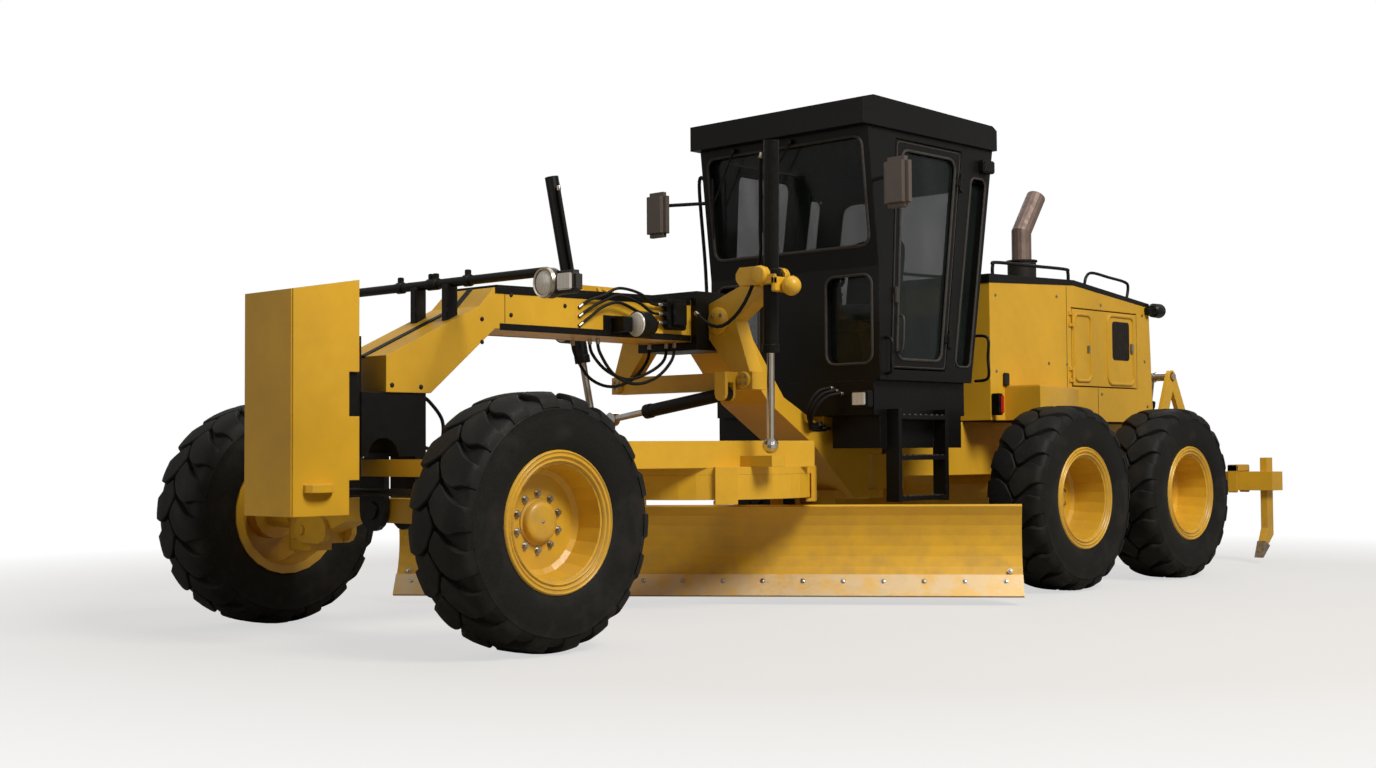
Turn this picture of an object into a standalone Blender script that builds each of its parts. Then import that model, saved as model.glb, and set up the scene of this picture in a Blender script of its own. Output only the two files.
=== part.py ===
"""Motor grader: articulated frame, leaning steered front wheels, tandem drive, blade on a
turning circle, glazed cab, engine hood and rear ripper.

Metres, +Z up, +X is the machine's left side, -Y is forwards.
Stations are measured from the front axle line; the last step moves the machine so that the
middle of its length is at Y = 0.
"""
import math

import bmesh
import bpy
from mathutils import Matrix, Vector

for old in list(bpy.data.objects):
    bpy.data.objects.remove(old, do_unlink=True)

# Clearances and facets
SEAT_GAP = 0.0003        # between touching pieces
PIN_GAP = 0.0012         # round a pin in its eye
CUT_OVERRUN = 0.020      # how far a cutter passes the face that it cuts
WELD_OVERLAP = 0.006     # how far welded pieces reach into each other
ROUND_FACETS = 16
SMALL_FACETS = 10
FINE_FACETS = 24
HUB_FACETS = 20
BALL_FACETS = 12
BALL_BANDS = 6
NEARLY_UPRIGHT = 0.9     # share of an axis that is along Z

# Running gear
TRACK_HALF = 1.167       # wheel's middle plane to the machine's centre plane
TYRE_RADIUS = 0.645
TYRE_WIDTH = 0.440
TYRE_LUGS = 18
LUG_HEIGHT = 0.034
LUG_LEAN = math.radians(7)
CROWN_HALF = 0.022
SHOULDER_HALF = 0.196
SHOULDER_DROP = 0.022
SIDEWALL_RADIUS = 0.500
RIM_RADIUS = 0.350
RIM_HALF_WIDTH = 0.203
RIM_FACETS = 24
RIM_BORE = 0.285
DISH_RADIUS = 0.262
DISC_RADIUS = 0.235
DISC_THICKNESS = 0.026
FRONT_DISC_X = 0.035     # disc's outer face, outwards from the wheel's middle plane
REAR_DISC_X = -0.060
CAP_RADIUS = 0.105
CAP_REACH = 0.035
KINGPIN_INSET = 0.307    # from the wheel's middle plane
TANDEM_INSET = 0.367
TANDEM_FRONT_Y = 4.906
TANDEM_SPACING = 1.525
TANDEM_MIDDLE_Y = TANDEM_FRONT_Y + TANDEM_SPACING / 2
RIM_LIP = 0.018
CAP_TOP_SHARE = 0.82
BACK_BORE = 0.300

# Front axle
KINGPIN_X = TRACK_HALF - KINGPIN_INSET
KINGPIN_RADIUS = 0.034
LEAN_PIN_INSET = 0.180
BEAM_END_INSET = 0.100
LEAN_PIN_X = KINGPIN_X - LEAN_PIN_INSET
LEAN_PIN_Z = 0.560
LEAN_BAR_RISE = 0.350
PIN_RADIUS = 0.028
BEAM_HALF_DEPTH = 0.075
BEAM_TOP_Z = 0.745
BEAM_HEIGHT = 0.130
BEAM_END_TOP_Z = 0.640
BEAM_END_X = LEAN_PIN_X - BEAM_END_INSET
CLEVIS_THICKNESS = 0.034
CLEVIS_RADIUS = 0.075
YOKE_HALF_DEPTH = 0.070
YOKE_HALF_WEB = 0.040
YOKE_LUG_HEIGHT = 0.060
YOKE_LUG_REACH = 0.055
YOKE_DROP = 0.205        # under the wheel's axis
YOKE_RISE = 0.215        # over the wheel's axis
YOKE_BOTTOM_Z = TYRE_RADIUS - YOKE_DROP
YOKE_TOP_Z = TYRE_RADIUS + YOKE_RISE
LEAN_BAR_HEIGHT = 0.090
LEAN_BAR_DEPTH = 0.050
LEAN_BAR_Y = -0.165
BARREL_RADIUS = 0.056
SPINDLE_RADIUS = 0.085
HUB_RADIUS = 0.150
HUB_LENGTH = 0.090
STEER_ARM_REACH = 0.240
STEER_ARM_RISE = 0.080   # over the wheel's axis
STEER_ARM_Z = TYRE_RADIUS + STEER_ARM_RISE
STEER_ARM_HEIGHT = 0.036
TIE_ROD_RADIUS = 0.021
TIE_EYE_RADIUS = 0.040
TIE_ROD_RISE = 0.020     # clear of the steering arm, for the lean
TIE_ROD_Z = STEER_ARM_Z + STEER_ARM_HEIGHT / 2 + TIE_ROD_RISE + TIE_ROD_RADIUS
CLEVIS_GAP = SEAT_GAP
CLEVIS_ROOT = 0.060
PIN_HEAD = 0.012
YOKE_BAR_GAP = SEAT_GAP
LUG_GAP = SEAT_GAP
STEER_ARM_HALF = 0.030
STUD_RADIUS = 0.014
STUD_COLLAR_RADIUS = 0.020
TIE_EYE_WALL = 0.012
TIE_EYE_SHARE = 0.86
STUD_LEAN_ROOM = 0.007    # for the stud's lean in the right eye
STUD_TRAVEL = 0.018       # of the right stud in its slot, over the wheels' lean
SLOT_EYE_RADIUS = 0.035

# Front frame
FRAME_HALF = 0.210
NOSE_FRONT_Y = -0.180
NOSE_BOTTOM_Z = 1.310
NOSE_TOP_Z = 1.505
NOSE_SLOPE_END_Y = 0.450
NOSE_SLOPE_END_Z = 1.800
NECK_FRONT_Y = 0.560
NECK_TOP_Z = 1.911
NECK_REAR_TOP_Z = 1.938
NECK_BOTTOM_Z = 1.670
NECK_REAR_Y = 2.560
KNEE_BOTTOM_Y = 0.115
GOOSE_TOP_Y = 3.050
GOOSE_TOP_Z = 1.340
GOOSE_FOOT_Y = 3.800
SEAM_DEPTH = 0.010
BOLSTER_HALF = 0.200
BOLSTER_FRONT_Y = -0.330
BOLSTER_REAR_Y = 0.090
BOLSTER_BOTTOM_Z = 0.970
BOLSTER_LEG_HALF = 0.110
BOLSTER_LEG_THICKNESS = 0.034
BOLSTER_LEG_GAP = 0.010
AXLE_PIN_Z = 0.680
AXLE_PIN_RADIUS = 0.050
GOOSE_BEND_Y = 3.400
GOOSE_RISE = 0.150
HITCH_FRONT_Y = 3.960
GOOSE_UNDER_Y = 3.350
GOOSE_UNDER_Z = 1.030
GOOSE_THROAT_Y = 2.900
GOOSE_THROAT_Z = 1.300
NECK_THROAT_Y = 2.560
NECK_KNEE_Y = 0.565
NECK_KNEE_RISE = 0.010
CAB_PEDESTAL_HALF = 0.200
CAB_PEDESTAL_Y = (3.480, 3.940)
CAB_BASE_Z = 1.220
NOSE_SLOT_HALF = 0.030
BALL_LUG_HALF = 0.062
BALL_WEB = 0.040
ARCH_Y = -0.190
ARCH_RADIUS = 0.100

# Articulation
ARTICULATION_Y = 4.150
HITCH_TOP_Z = 1.020
HITCH_BOTTOM_Z = 0.650
HITCH_PLATE = 0.060
HITCH_RADIUS = 0.150
HITCH_PIN_RADIUS = 0.055
HITCH_GAP = SEAT_GAP

# Push block at the nose
PUSH_HALF = 0.219
PUSH_FRONT_Y = -0.768
PUSH_REAR_Y = -0.420
PUSH_LIP_Y = -0.357
PUSH_BOTTOM_Z = 0.670
PUSH_FRONT_TOP_Z = 1.820
PUSH_REAR_TOP_Z = 1.880
PUSH_LIP_BREAK_Z = 1.410
PUSH_LIP_LOWER_Z = (0.850, 1.180)
TOW_LUG_Z = 0.790
TOW_LUG_REACH = 0.060
TOW_LUG_Y = (-0.700, -0.520)
PUSH_BEVEL = 0.008
TOW_LUG_HEIGHT = 0.040
PUSH_PLATE_HALF = 0.190
PUSH_PLATE_Z = (0.860, 1.600)
KEEPER_SHARE = 0.90

# Blade linkage
BALL_Y = 0.300
BALL_Z = 0.860
BALL_RADIUS = 0.072
BALL_STUB_RADIUS = 0.028
BALL_LUG_HEIGHT = 0.050
DRAW_NOSE_Y = 0.520
DRAW_BEAM_TOP_Z = 1.050
DRAW_BEAM_HEIGHT = 0.165
DRAW_BEAM_WIDTH = 0.150
DRAW_NOSE_HALF = 0.120
DRAW_REAR_HALF = 0.640
DRAW_REAR_Y = 2.750
CIRCLE_Y = 2.470
CIRCLE_RADIUS = 0.710
CIRCLE_BAND = 0.150      # the ring's width
CIRCLE_BORE = CIRCLE_RADIUS - CIRCLE_BAND
CIRCLE_TOP_Z = 0.842
CIRCLE_HEIGHT = 0.150
CIRCLE_FACETS = 40
CIRCLE_SHOE_GAP = 0.004
BLADE_ANGLE = math.radians(37.1)
BLADE_LENGTH = 4.090
BLADE_BOTTOM_Z = 0.050
BLADE_TOP_Z = 0.625
BLADE_CURVE_RADIUS = 0.430
BLADE_RAKE = math.radians(58)    # of the cutting edge, from the ground
BLADE_THICKNESS = 0.024
BLADE_ARC_STEPS = 7
EDGE_WIDTH = 0.153
EDGE_THICKNESS = 0.020
EDGE_BARE = 0.030        # how far the cutting edge passes the moldboard's foot
RAIL_HALF = 0.020
RAIL_LOW_Z = 0.220
RAIL_HIGH_Z = 0.520
RAIL_ROOTS_Y = (0.132, 0.160)
RAIL_Y = 0.215           # rails' back face, behind the cutting edge
RAIL_GAP = SEAT_GAP
ARM_INSET = 0.210        # from the ring's outside
ARM_THICKNESS = 0.080
BLADE_ARM_X = (CIRCLE_RADIUS - ARM_INSET - ARM_THICKNESS, CIRCLE_RADIUS - ARM_INSET)
CARRIER_PLATE = 0.040
CARRIER_GAP = SEAT_GAP
HOOK = 0.022
TIP_PIN_Y = 0.360
TIP_PIN_Z = 0.260
TIP_PIN_RADIUS = 0.026
TIP_EYE_RADIUS = 0.060
BALL_CHEEK = (0.078, 0.112)
BALL_COLLAR_RADIUS = 0.040
BALL_POCKET_Y = 0.470
DRAW_PLATE_END_Y = 3.000
SHOE_TURNS = [math.radians(a) for a in (35, 145, 215, 325)]
SHOE_LIP = 0.030
SHOE_DEPTH = 0.028
SHOE_HALF = 0.070
BALL_BRACKET_REACH = 0.200
BALL_BRACKET_HALF = 0.060
LIFT_BALL_GAP = 0.012
SHIFT_BRACKET_HALF = 0.030
SHIFT_EYE_ROOM = 0.050
SHIFT_EYE_RADIUS = 0.045
ARM_ROOT_INSET = 0.0335
ARM_ROOT_DEPTH = 0.065
ARM_ROOT_FRONT = math.sqrt((CIRCLE_BORE + ARM_ROOT_INSET) ** 2 - (sum(BLADE_ARM_X) / 2) ** 2)
ARM_ROOT_Y = (ARM_ROOT_FRONT, ARM_ROOT_FRONT + ARM_ROOT_DEPTH)
ARM_KNEE_Z = 0.480
ARM_TUBE = (0.405, 0.520)
ARM_TUBE_RADIUS = 0.045
RAIL_END = 0.120
CARRIER_TUBE = (0.262, 0.450)
CARRIER_TUBE_RADIUS = 0.032

# Lift and side-shift cylinders
LIFT_TOP = (0.973, 2.058, 2.833)
LIFT_BALL = (0.765, 2.270, 1.020)
LIFT_YOKE_SHARE = 0.560  # of the way from the ball to the top
LIFT_BARREL_RADIUS = 0.047
LIFT_ROD_RADIUS = 0.024
LIFT_BARREL_END_SHARE = 0.310
LIFT_BALL_RADIUS = 0.050
SHIFT_FOOT = Vector((0.460, 2.200, 1.340))
SHIFT_EYE = Vector((-0.540, 2.200, 1.200))
BARREL_CAP = 0.030
BORE_GAP = SEAT_GAP
GLAND_LENGTH = 0.050
GLAND_SHARE = 1.12
COLLAR_HALF = 0.045
COLLAR_RADIUS = 0.060
TRUNNION_REACH = 0.105
TRUNNION_RADIUS = 0.024
TRUNNION_SHOULDER = 0.036
LIFT_ROD_ROOM = 0.340
SHIFT_BARREL_RADIUS = 0.042
SHIFT_ROD_RADIUS = 0.021
SHIFT_END_SHARE = 0.312
SHIFT_ROOM = 0.280
SHIFT_NECK = 0.060
SHIFT_NECK_RADIUS = 0.024
SHIFT_EYE_WIDTH = 0.050
SHIFT_PIN_RADIUS = 0.018
SADDLE_WALL = 0.050
SADDLE_Y = (2.160, 2.500)
SADDLE_PIN_Y = 2.330
SADDLE_PIN_Z = 1.800
SADDLE_PIN_RADIUS = 0.060
SADDLE_PIN_REACH = 0.050
ARM_HUB = 0.110
ARM_HALF_DEPTH = 0.060
ARM_FOOT = 0.060
LINK_PIN_X = 0.560
LINK_BAR_Z = 1.420
LINK_BAR_HALF = 0.055
BRIDGE_SHARE = 0.20
LIFT_FORK_HALF = 0.068
LIFT_FORK_PLATE = 0.030
FORK_ROOT = 0.120
FORK_WEB = 0.050
FORK_HALF_HEIGHT = 0.055
SHIFT_LUG = 0.025

# Cab
CAB_HALF = 0.750
CAB_WALL = 0.050
CAB_FLOOR_Z = 1.450
CAB_TOP_Z = 3.120
CAB_FRONT_Y = 3.390
CAB_FRONT_TOP_Y = 3.285
CAB_FRONT_KNEE_Z = 2.200
CAB_REAR_LOW_Y = 4.440
CAB_REAR_HIGH_Y = 4.740
ROOF_EAVE = 0.025
ROOF_HALF = CAB_HALF + ROOF_EAVE
ROOF_TOP_Z = 3.320
ROOF_FRONT_Y = 3.207
ROOF_REAR_Y = 4.764
ROOF_CHAMFER = 0.055
GLASS = 0.008
DOOR_FRONT = (3.510, 1.530)      # bottom front corner, Y and Z
DOOR_TOP_FRONT = (3.600, 3.060)
DOOR_TOP_REAR = (4.350, 3.060)
DOOR_REAR = (4.125, 1.530)
DOOR_GAP = 0.010
DOOR_FRAME = 0.060
DOOR_THICKNESS = 0.040
QUARTER_FOOT = 0.110      # window's foot over the cab's foot
QUARTER_HEAD = 0.220      # window's top under the cab's top
QUARTER_Z = (CAB_FLOOR_Z + QUARTER_FOOT, CAB_TOP_Z - QUARTER_HEAD)
QUARTER_POST = 0.050
QUARTER_WIDTH = 0.180
GLASS_LAP = 0.020
REAR_SLANT = 1.016       # wall's thickness along Y, over its thickness
WINDOW_POST = 0.060      # beside the front windows
WINDSCREEN_X = (WINDOW_POST - CAB_HALF, CAB_HALF - WINDOW_POST)
WINDSCREEN_HEAD = 0.060
WINDSCREEN_Z = (2.340, CAB_TOP_Z - WINDSCREEN_HEAD)
LOWER_GLASS_X = (0.300, CAB_HALF - WINDOW_POST)
LOWER_GLASS_Z = (CAB_FLOOR_Z + QUARTER_FOOT, 2.150)
REAR_POST = 0.190
REAR_GLASS_X = (REAR_POST - CAB_HALF, CAB_HALF - REAR_POST)
REAR_HEAD = 0.270
REAR_GLASS_Z = (1.950, CAB_TOP_Z - REAR_HEAD)
WINDOW_CORNER = 0.070
CORNER_STEPS = 2
MIRROR_X = 1.070
MIRROR_Y = 3.200
MIRROR_Z = 2.760
MIRROR_HALF = 0.095
MIRROR_DEPTH = 0.070
MIRROR_DROP = 0.230
MIRROR_RISE = 0.090
MIRROR_ROUND = 0.028
MIRROR_ARM_RADIUS = 0.013
ROOF_LOW_Z = CAB_TOP_Z + SEAT_GAP
CAB_BASE_INSET = 0.050
CAB_BASE_HALF = CAB_HALF - CAB_BASE_INSET
CAB_BASE_REAR_Y = 4.420
SIDE_BOX_X = (0.300, CAB_BASE_HALF)
SIDE_BOX_Y = (3.450, 4.380)
SIDE_BOX_Z = 1.000
LADDER_STEP_OUT = 0.050
LADDER_X = CAB_HALF + LADDER_STEP_OUT
LADDER_Y = (3.520, 4.050)
LADDER_RAIL = 0.035
LADDER_BOTTOM_Z = 0.645
LADDER_TOP_Z = 1.260
LADDER_TREADS_Z = (0.650, 0.920, 1.190)
LADDER_TREAD = 0.030
SEAT_BASE_HALF = 0.180
SEAT_BASE_Y = (3.950, 4.250)
SEAT_Z = 1.900
SEAT_Y = (3.860, 4.340)
SEAT_HALF = 0.250
SEAT_THICKNESS = 0.110
SEAT_BACK_Y = 4.220
SEAT_LEAN = 0.100
SEAT_TOP_Z = 2.520
SEAT_NOSE_SHARE = 0.80
CONSOLE_Y = (3.600, 3.720)
CONSOLE_HALF = 0.110
CONSOLE_LEAN = 0.080
CONSOLE_TOP_Z = 2.120
STEER_RISE = 0.080
STEER_RADIUS = 0.190
STEER_RIM = 0.016
STEER_TILT = 0.35        # forward slope of the wheel's axis

# Engine end
HOOD_HALF = 0.550
HOOD_FRONT_Y = 4.980
HOOD_REAR_Y = 7.330
HOOD_BOTTOM_Z = 1.200
HOOD_FRONT_TOP_Z = 2.270
HOOD_KINK_Y = 6.150
HOOD_KINK_Z = 2.300
HOOD_REAR_TOP_Z = 2.180
HOOD_REAR_BOTTOM_Z = 1.230
HOOD_WALL = 0.040
HOOD_DOOR_Y = (6.120, 7.120)
HOOD_DOOR_Z = (1.480, 2.080)
REAR_FRAME_HALF = 0.300
REAR_FRAME_TOP_Z = 1.190
REAR_FRAME_BOTTOM_Z = 0.800
REAR_FRAME_END_Y = 7.450
TANDEM_X = TRACK_HALF - TANDEM_INSET
TANDEM_HALF = 0.110
TANDEM_HEIGHT = 0.420
AXLE_HOUSING_RADIUS = 0.210
EXHAUST_Y = 6.000
EXHAUST_X = 0.180
EXHAUST_RADIUS = 0.077
REAR_NECK_Y = 4.400
REAR_WIDE_Y = 4.760
RIPPER_LUG_X = (0.310, 0.350)
RIPPER_LUG_RADIUS = 0.070
RIPPER_ARM_PLATE = 0.040
RIPPER_BOSS_RADIUS = 0.044
RIPPER_SHAFT_RADIUS = 0.030
AXLE_HOUSING_Z = 0.690
REAR_HUB_RADIUS = 0.160
HOOD_REAR_END_Y = 7.380
HOOD_REAR_LIP = 0.070
HOOD_DOOR_PANEL = 0.034
HOOD_RAIL_X = 0.450
ENGINE_HALF = 0.330
ENGINE_Y = (5.250, 6.400)
ENGINE_TOP_Z = 2.050
EXHAUST_BASE = 0.060
EXHAUST_BASE_SHARE = 1.4
EXHAUST_BEND_Z = 2.700
EXHAUST_TIP_Y = 0.220
EXHAUST_TIP_Z = 3.000
EXHAUST_BORE_SHARE = 0.10
EXHAUST_WALL = 0.008

# Door hinges
HINGE_OUT = 0.0135       # the axis's distance out of the door's face
HINGE_RADIUS = 0.013
HINGE_LEAF = 0.010
HINGE_SINK = 0.005
HINGE_LENGTH = 0.030
HINGE_REACH = 0.045
HINGE_STEP = 0.001
HINGE_SHARES = (0.14, 0.86)
CAB_HINGE_X = CAB_HALF + HINGE_OUT
CAB_HINGE = [(CAB_HINGE_X, y + DOOR_GAP / 2, z) for y, z in (DOOR_REAR, DOOR_TOP_REAR)]
HOOD_HINGE_X = HOOD_HALF + HINGE_OUT
HOOD_HINGE = [(HOOD_HINGE_X, HOOD_DOOR_Y[0] - DOOR_GAP / 2, z) for z in HOOD_DOOR_Z]

# Ripper
RIPPER_PIN_Y = 7.620
RIPPER_PIN_Z = 0.900
RIPPER_APEX_Y = 7.930
RIPPER_APEX_Z = 1.600
RIPPER_ARM_X = 0.420
RIPPER_BEAM_HALF = 1.100
RIPPER_BEAM_Y = (8.400, 8.600)
RIPPER_BEAM_Z = (0.620, 0.780)
SHANK_X = 1.000
SHANK_WIDTH = 0.060
SHANK_TIP_Z = 0.060
RIPPER_CYLINDER_X = 0.250
RIPPER_CYLINDER_FOOT = (7.700, 0.640)
RIPPER_BAR_RADIUS = 0.055
APEX_ROOM = 0.0115       # the open pivot's drift over the ripper's travel
BOSS_STEP = 0.008
SHANK_Y = (8.450, 8.560)
SHANK_HEAD = 0.120
SHANK_KNEE_Z = 0.300
SHANK_TIP_Y = 8.330
RIPPER_BARREL_RADIUS = 0.045
RIPPER_ROD_RADIUS = 0.024
RIPPER_MOUTH_SHARE = 0.220
RIPPER_ROOM = 0.120
RIPPER_EYE_RADIUS = 0.045
RIPPER_EYE_WIDTH = 0.060

MIDDLE_Y = (PUSH_FRONT_Y + RIPPER_BEAM_Y[1]) / 2


# Materials: base colour, roughness, metallic
FINISHES = {
    "yellow_paint": ((0.72, 0.42, 0.06), 0.42, 0.0),
    "black_paint": ((0.022, 0.022, 0.022), 0.45, 0.0),
    "rubber": ((0.020, 0.020, 0.021), 0.80, 0.0),
    "glass": ((0.06, 0.08, 0.08), 0.08, 0.0),
    "steel": ((0.55, 0.54, 0.52), 0.30, 1.0),
    "chrome": ((0.75, 0.75, 0.75), 0.12, 1.0),
    "exhaust": ((0.10, 0.075, 0.06), 0.60, 0.6),
    "seat_fabric": ((0.05, 0.05, 0.055), 0.90, 0.0),
}


def make_material(finish, node):
    colour, roughness, metallic = FINISHES[finish]
    material = bpy.data.materials.new(node)
    material.use_nodes = True
    shader = material.node_tree.nodes["Principled BSDF"]
    shader.inputs["Base Color"].default_value = (*colour, 1.0)
    shader.inputs["Roughness"].default_value = roughness
    shader.inputs["Metallic"].default_value = metallic
    material.diffuse_color = (*colour, 1.0)
    return material


# Shapes
AXES = {"X": (1, 2, 0), "Y": (0, 2, 1), "Z": (0, 1, 2)}


def finish_shape(shape):
    bmesh.ops.recalc_face_normals(shape, faces=shape.faces)
    return shape


def loft(sections):
    """Closed solid through sections, each a list of as many points."""
    shape = bmesh.new()
    rings = [[shape.verts.new(point) for point in section] for section in sections]
    count = len(rings[0])
    for low, high in zip(rings, rings[1:]):
        for i in range(count):
            j = (i + 1) % count
            shape.faces.new((low[i], low[j], high[j], high[i]))
    shape.faces.new(reversed(rings[0]))
    shape.faces.new(rings[-1])
    return finish_shape(shape)


def prism(axis, low, high, outline):
    """Outline of (first, second) points, pushed along axis from low to high."""
    first, second, along = AXES[axis]
    sections = []
    for station in (low, high):
        section = []
        for a, b in outline:
            point = [0.0, 0.0, 0.0]
            point[first] = a
            point[second] = b
            point[along] = station
            section.append(point)
        sections.append(section)
    return loft(sections)


def block(x, y, z):
    """Box between the pairs x, y and z."""
    return prism("Z", z[0], z[1], [(x[0], y[0]), (x[1], y[0]), (x[1], y[1]), (x[0], y[1])])


def ring_points(centre, axis, radius, facets, phase=0.5):
    axis = Vector(axis).normalized()
    side = Vector((0, 0, 1)) if abs(axis.z) < NEARLY_UPRIGHT else Vector((1, 0, 0))
    first = axis.cross(side).normalized()
    second = axis.cross(first)
    centre = Vector(centre)
    turns = [math.tau * (i + phase) / facets for i in range(facets)]
    return [centre + radius * (math.cos(t) * first + math.sin(t) * second) for t in turns]


def turned(centre, axis, profile, facets=ROUND_FACETS):
    """Solid of revolution; profile is (distance along axis, radius), ends included."""
    centre = Vector(centre)
    axis = Vector(axis).normalized()
    sections = [ring_points(centre + axis * along, axis, radius, facets)
                for along, radius in profile]
    return loft(sections)


def rod(start, end, radius, facets=ROUND_FACETS):
    start = Vector(start)
    length = (Vector(end) - start).length
    return turned(start, Vector(end) - start, [(0, radius), (length, radius)], facets)


def hoop(centre, axis, profile, facets):
    """Ring of revolution; profile is a closed loop of (distance along axis, radius)."""
    shape = bmesh.new()
    centre = Vector(centre)
    axis = Vector(axis).normalized()
    rings = [[shape.verts.new(p) for p in ring_points(centre + axis * along, axis, radius, facets)]
             for along, radius in profile]
    for low, high in zip(rings, rings[1:] + rings[:1]):
        for i in range(facets):
            j = (i + 1) % facets
            shape.faces.new((low[i], low[j], high[j], high[i]))
    return finish_shape(shape)


def pipe(route, radius, facets=SMALL_FACETS):
    """Tube along a route of points, mitred at its bends."""
    route = [Vector(point) for point in route]
    start = (route[1] - route[0]).normalized()
    section = ring_points(route[0], start, radius, facets)
    sections = [section]
    for i in range(1, len(route)):
        before = (route[i] - route[i - 1]).normalized()
        after = (route[i + 1] - route[i]).normalized() if i + 1 < len(route) else before
        cut = (before + after).normalized()
        moved = []
        for point in section:
            travel = (route[i] - point).dot(cut) / before.dot(cut)
            moved.append(point + before * travel)
        section = moved
        sections.append(section)
    return loft(sections)


def ball(centre, radius, axis=(0, 0, 1), facets=BALL_FACETS, bands=BALL_BANDS):
    profile = []
    for i in range(bands + 1):
        turn = math.pi * (i + 0.25) / (bands + 0.5)
        profile.append((-radius * math.cos(turn), radius * math.sin(turn)))
    return turned(centre, axis, profile, facets)


def spool(centre, axis, pin_radius, pin_half, collar_radius, collar_half, ball_radius=0, bands=BALL_BANDS):
    """Pin with a collar in its middle, and a ball round that if ball_radius is given."""
    side = [(pin_half, pin_radius), (collar_half, pin_radius), (collar_half, collar_radius)]
    middle = []
    if ball_radius:
        first = math.asin(collar_radius / ball_radius)
        turns = [first + (math.pi - 2 * first) * i / bands for i in range(bands + 1)]
        middle = [(-ball_radius * math.cos(t), ball_radius * math.sin(t)) for t in turns]
    profile = [(-along, radius) for along, radius in side] + middle + side[::-1]
    return turned(centre, axis, profile)


def ball_rod(centre, axis, ball_radius, rod_radius, length, facets=BALL_FACETS, bands=BALL_BANDS):
    """Rod of that length from the ball's centre, with the ball round its end."""
    last = math.pi - math.asin(rod_radius / ball_radius)
    turns = [last * (i + 0.25) / (bands + 0.25) for i in range(bands + 1)]
    profile = [(-ball_radius * math.cos(t), ball_radius * math.sin(t)) for t in turns]
    return turned(centre, axis, profile + [(length, rod_radius)], facets)


def eye(centre, axis, radius, width, facets=ROUND_FACETS):
    centre = Vector(centre)
    half = Vector(axis).normalized() * width / 2
    return rod(centre - half, centre + half, radius, facets)


def round_end_bar(axis, low, high, start, end, radius, facets=SMALL_FACETS):
    """Link with round ends, in the plane across axis, between two (first, second) points."""
    a = Vector(start)
    b = Vector(end)
    heading = math.atan2(b.y - a.y, b.x - a.x)
    outline = []
    for centre, turn in ((b, -math.pi / 2), (a, math.pi / 2)):
        for i in range(facets // 2 + 1):
            t = heading + turn + math.pi * i / (facets // 2)
            outline.append((centre.x + radius * math.cos(t), centre.y + radius * math.sin(t)))
    return prism(axis, low, high, outline)


def mirrored(shape):
    """The shape's copy on the machine's other side."""
    copy = shape.copy()
    bmesh.ops.scale(copy, vec=(-1, 1, 1), verts=copy.verts)
    bmesh.ops.reverse_faces(copy, faces=copy.faces)
    return copy


def on_side(side, shape):
    """The shape itself on the left (side 1), or its mirror image on the right (side -1)."""
    return shape if side > 0 else mirrored(shape)


def at_blade(shape):
    """From the blade's own frame (X along it, Y behind its edge) to the machine's."""
    turn = Matrix.Rotation(BLADE_ANGLE, 4, "Z")
    shape.transform(Matrix.Translation((0, CIRCLE_Y, 0)) @ turn)
    return shape


def blade_point(x, y, z):
    turn = Matrix.Rotation(BLADE_ANGLE, 4, "Z")
    return Matrix.Translation((0, CIRCLE_Y, 0)) @ turn @ Vector((x, y, z))


# Assembly
bodies = {}


def add_body(name, origin, parent=None):
    """Empty on the joint's axis, carried by its parent body's empty."""
    empty = bpy.data.objects.new("body_" + name, None)
    bpy.context.collection.objects.link(empty)
    origin = Vector(origin)
    if parent:
        empty.parent = bodies[parent][0]
        empty.location = origin - bodies[parent][1]
    else:
        empty.location = origin - Vector((middle_x(), MIDDLE_Y, 0))
    bodies[name] = (empty, origin)


def mesh_object(shape, name):
    mesh = bpy.data.meshes.new(name)
    shape.to_mesh(mesh)
    item = bpy.data.objects.new(name, mesh)
    bpy.context.collection.objects.link(item)
    return item


def combined(work, steps):
    """The work object's mesh after steps of (operation, shapes); removes the work object."""
    tools = []
    for operation, group in steps:
        for shape in group:
            tool = mesh_object(shape, work.name + "_tool")
            step = work.modifiers.new(operation, "BOOLEAN")
            step.operation = operation
            step.solver = "EXACT"
            step.object = tool
            tools.append(tool)
    bpy.context.view_layer.update()
    evaluated = work.evaluated_get(bpy.context.evaluated_depsgraph_get())
    mesh = bpy.data.meshes.new_from_object(evaluated)
    for item in tools + [work]:
        bpy.data.objects.remove(item, do_unlink=True)
    return mesh


def add_node(name, body, finish, shapes, cuts=(), crease=35, trims=()):
    """One named piece: shapes welded together, less the cuts, plus trims, carried by a body."""
    mesh = combined(mesh_object(shapes[0], name + "_work"),
                    (("UNION", shapes[1:]), ("DIFFERENCE", cuts), ("UNION", trims)))
    empty, origin = bodies[body]
    mesh.transform(Matrix.Translation(-origin))
    mesh.materials.clear()
    mesh.materials.append(make_material(finish, name))
    mesh.shade_smooth()
    mesh.set_sharp_from_angle(angle=math.radians(crease))
    node = bpy.data.objects.new(name, mesh)
    bpy.context.collection.objects.link(node)
    node.parent = empty
    return node


# Bodies and the points that their joints turn about
LIFT_TOP_POINT = Vector(LIFT_TOP)
LIFT_BALL_POINT = Vector(LIFT_BALL)
LIFT_AXIS = (LIFT_TOP_POINT - LIFT_BALL_POINT).normalized()
LIFT_TRUNNION = LIFT_BALL_POINT.lerp(LIFT_TOP_POINT, LIFT_YOKE_SHARE)
SIDES = (("left", 1), ("right", -1))
WHEEL_ROWS = (("front", 0.0), ("tandem_front", TANDEM_FRONT_Y),
              ("tandem_rear", TANDEM_FRONT_Y + TANDEM_SPACING))


def sided(point, side):
    return Vector((point[0] * side, point[1], point[2]))


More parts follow.
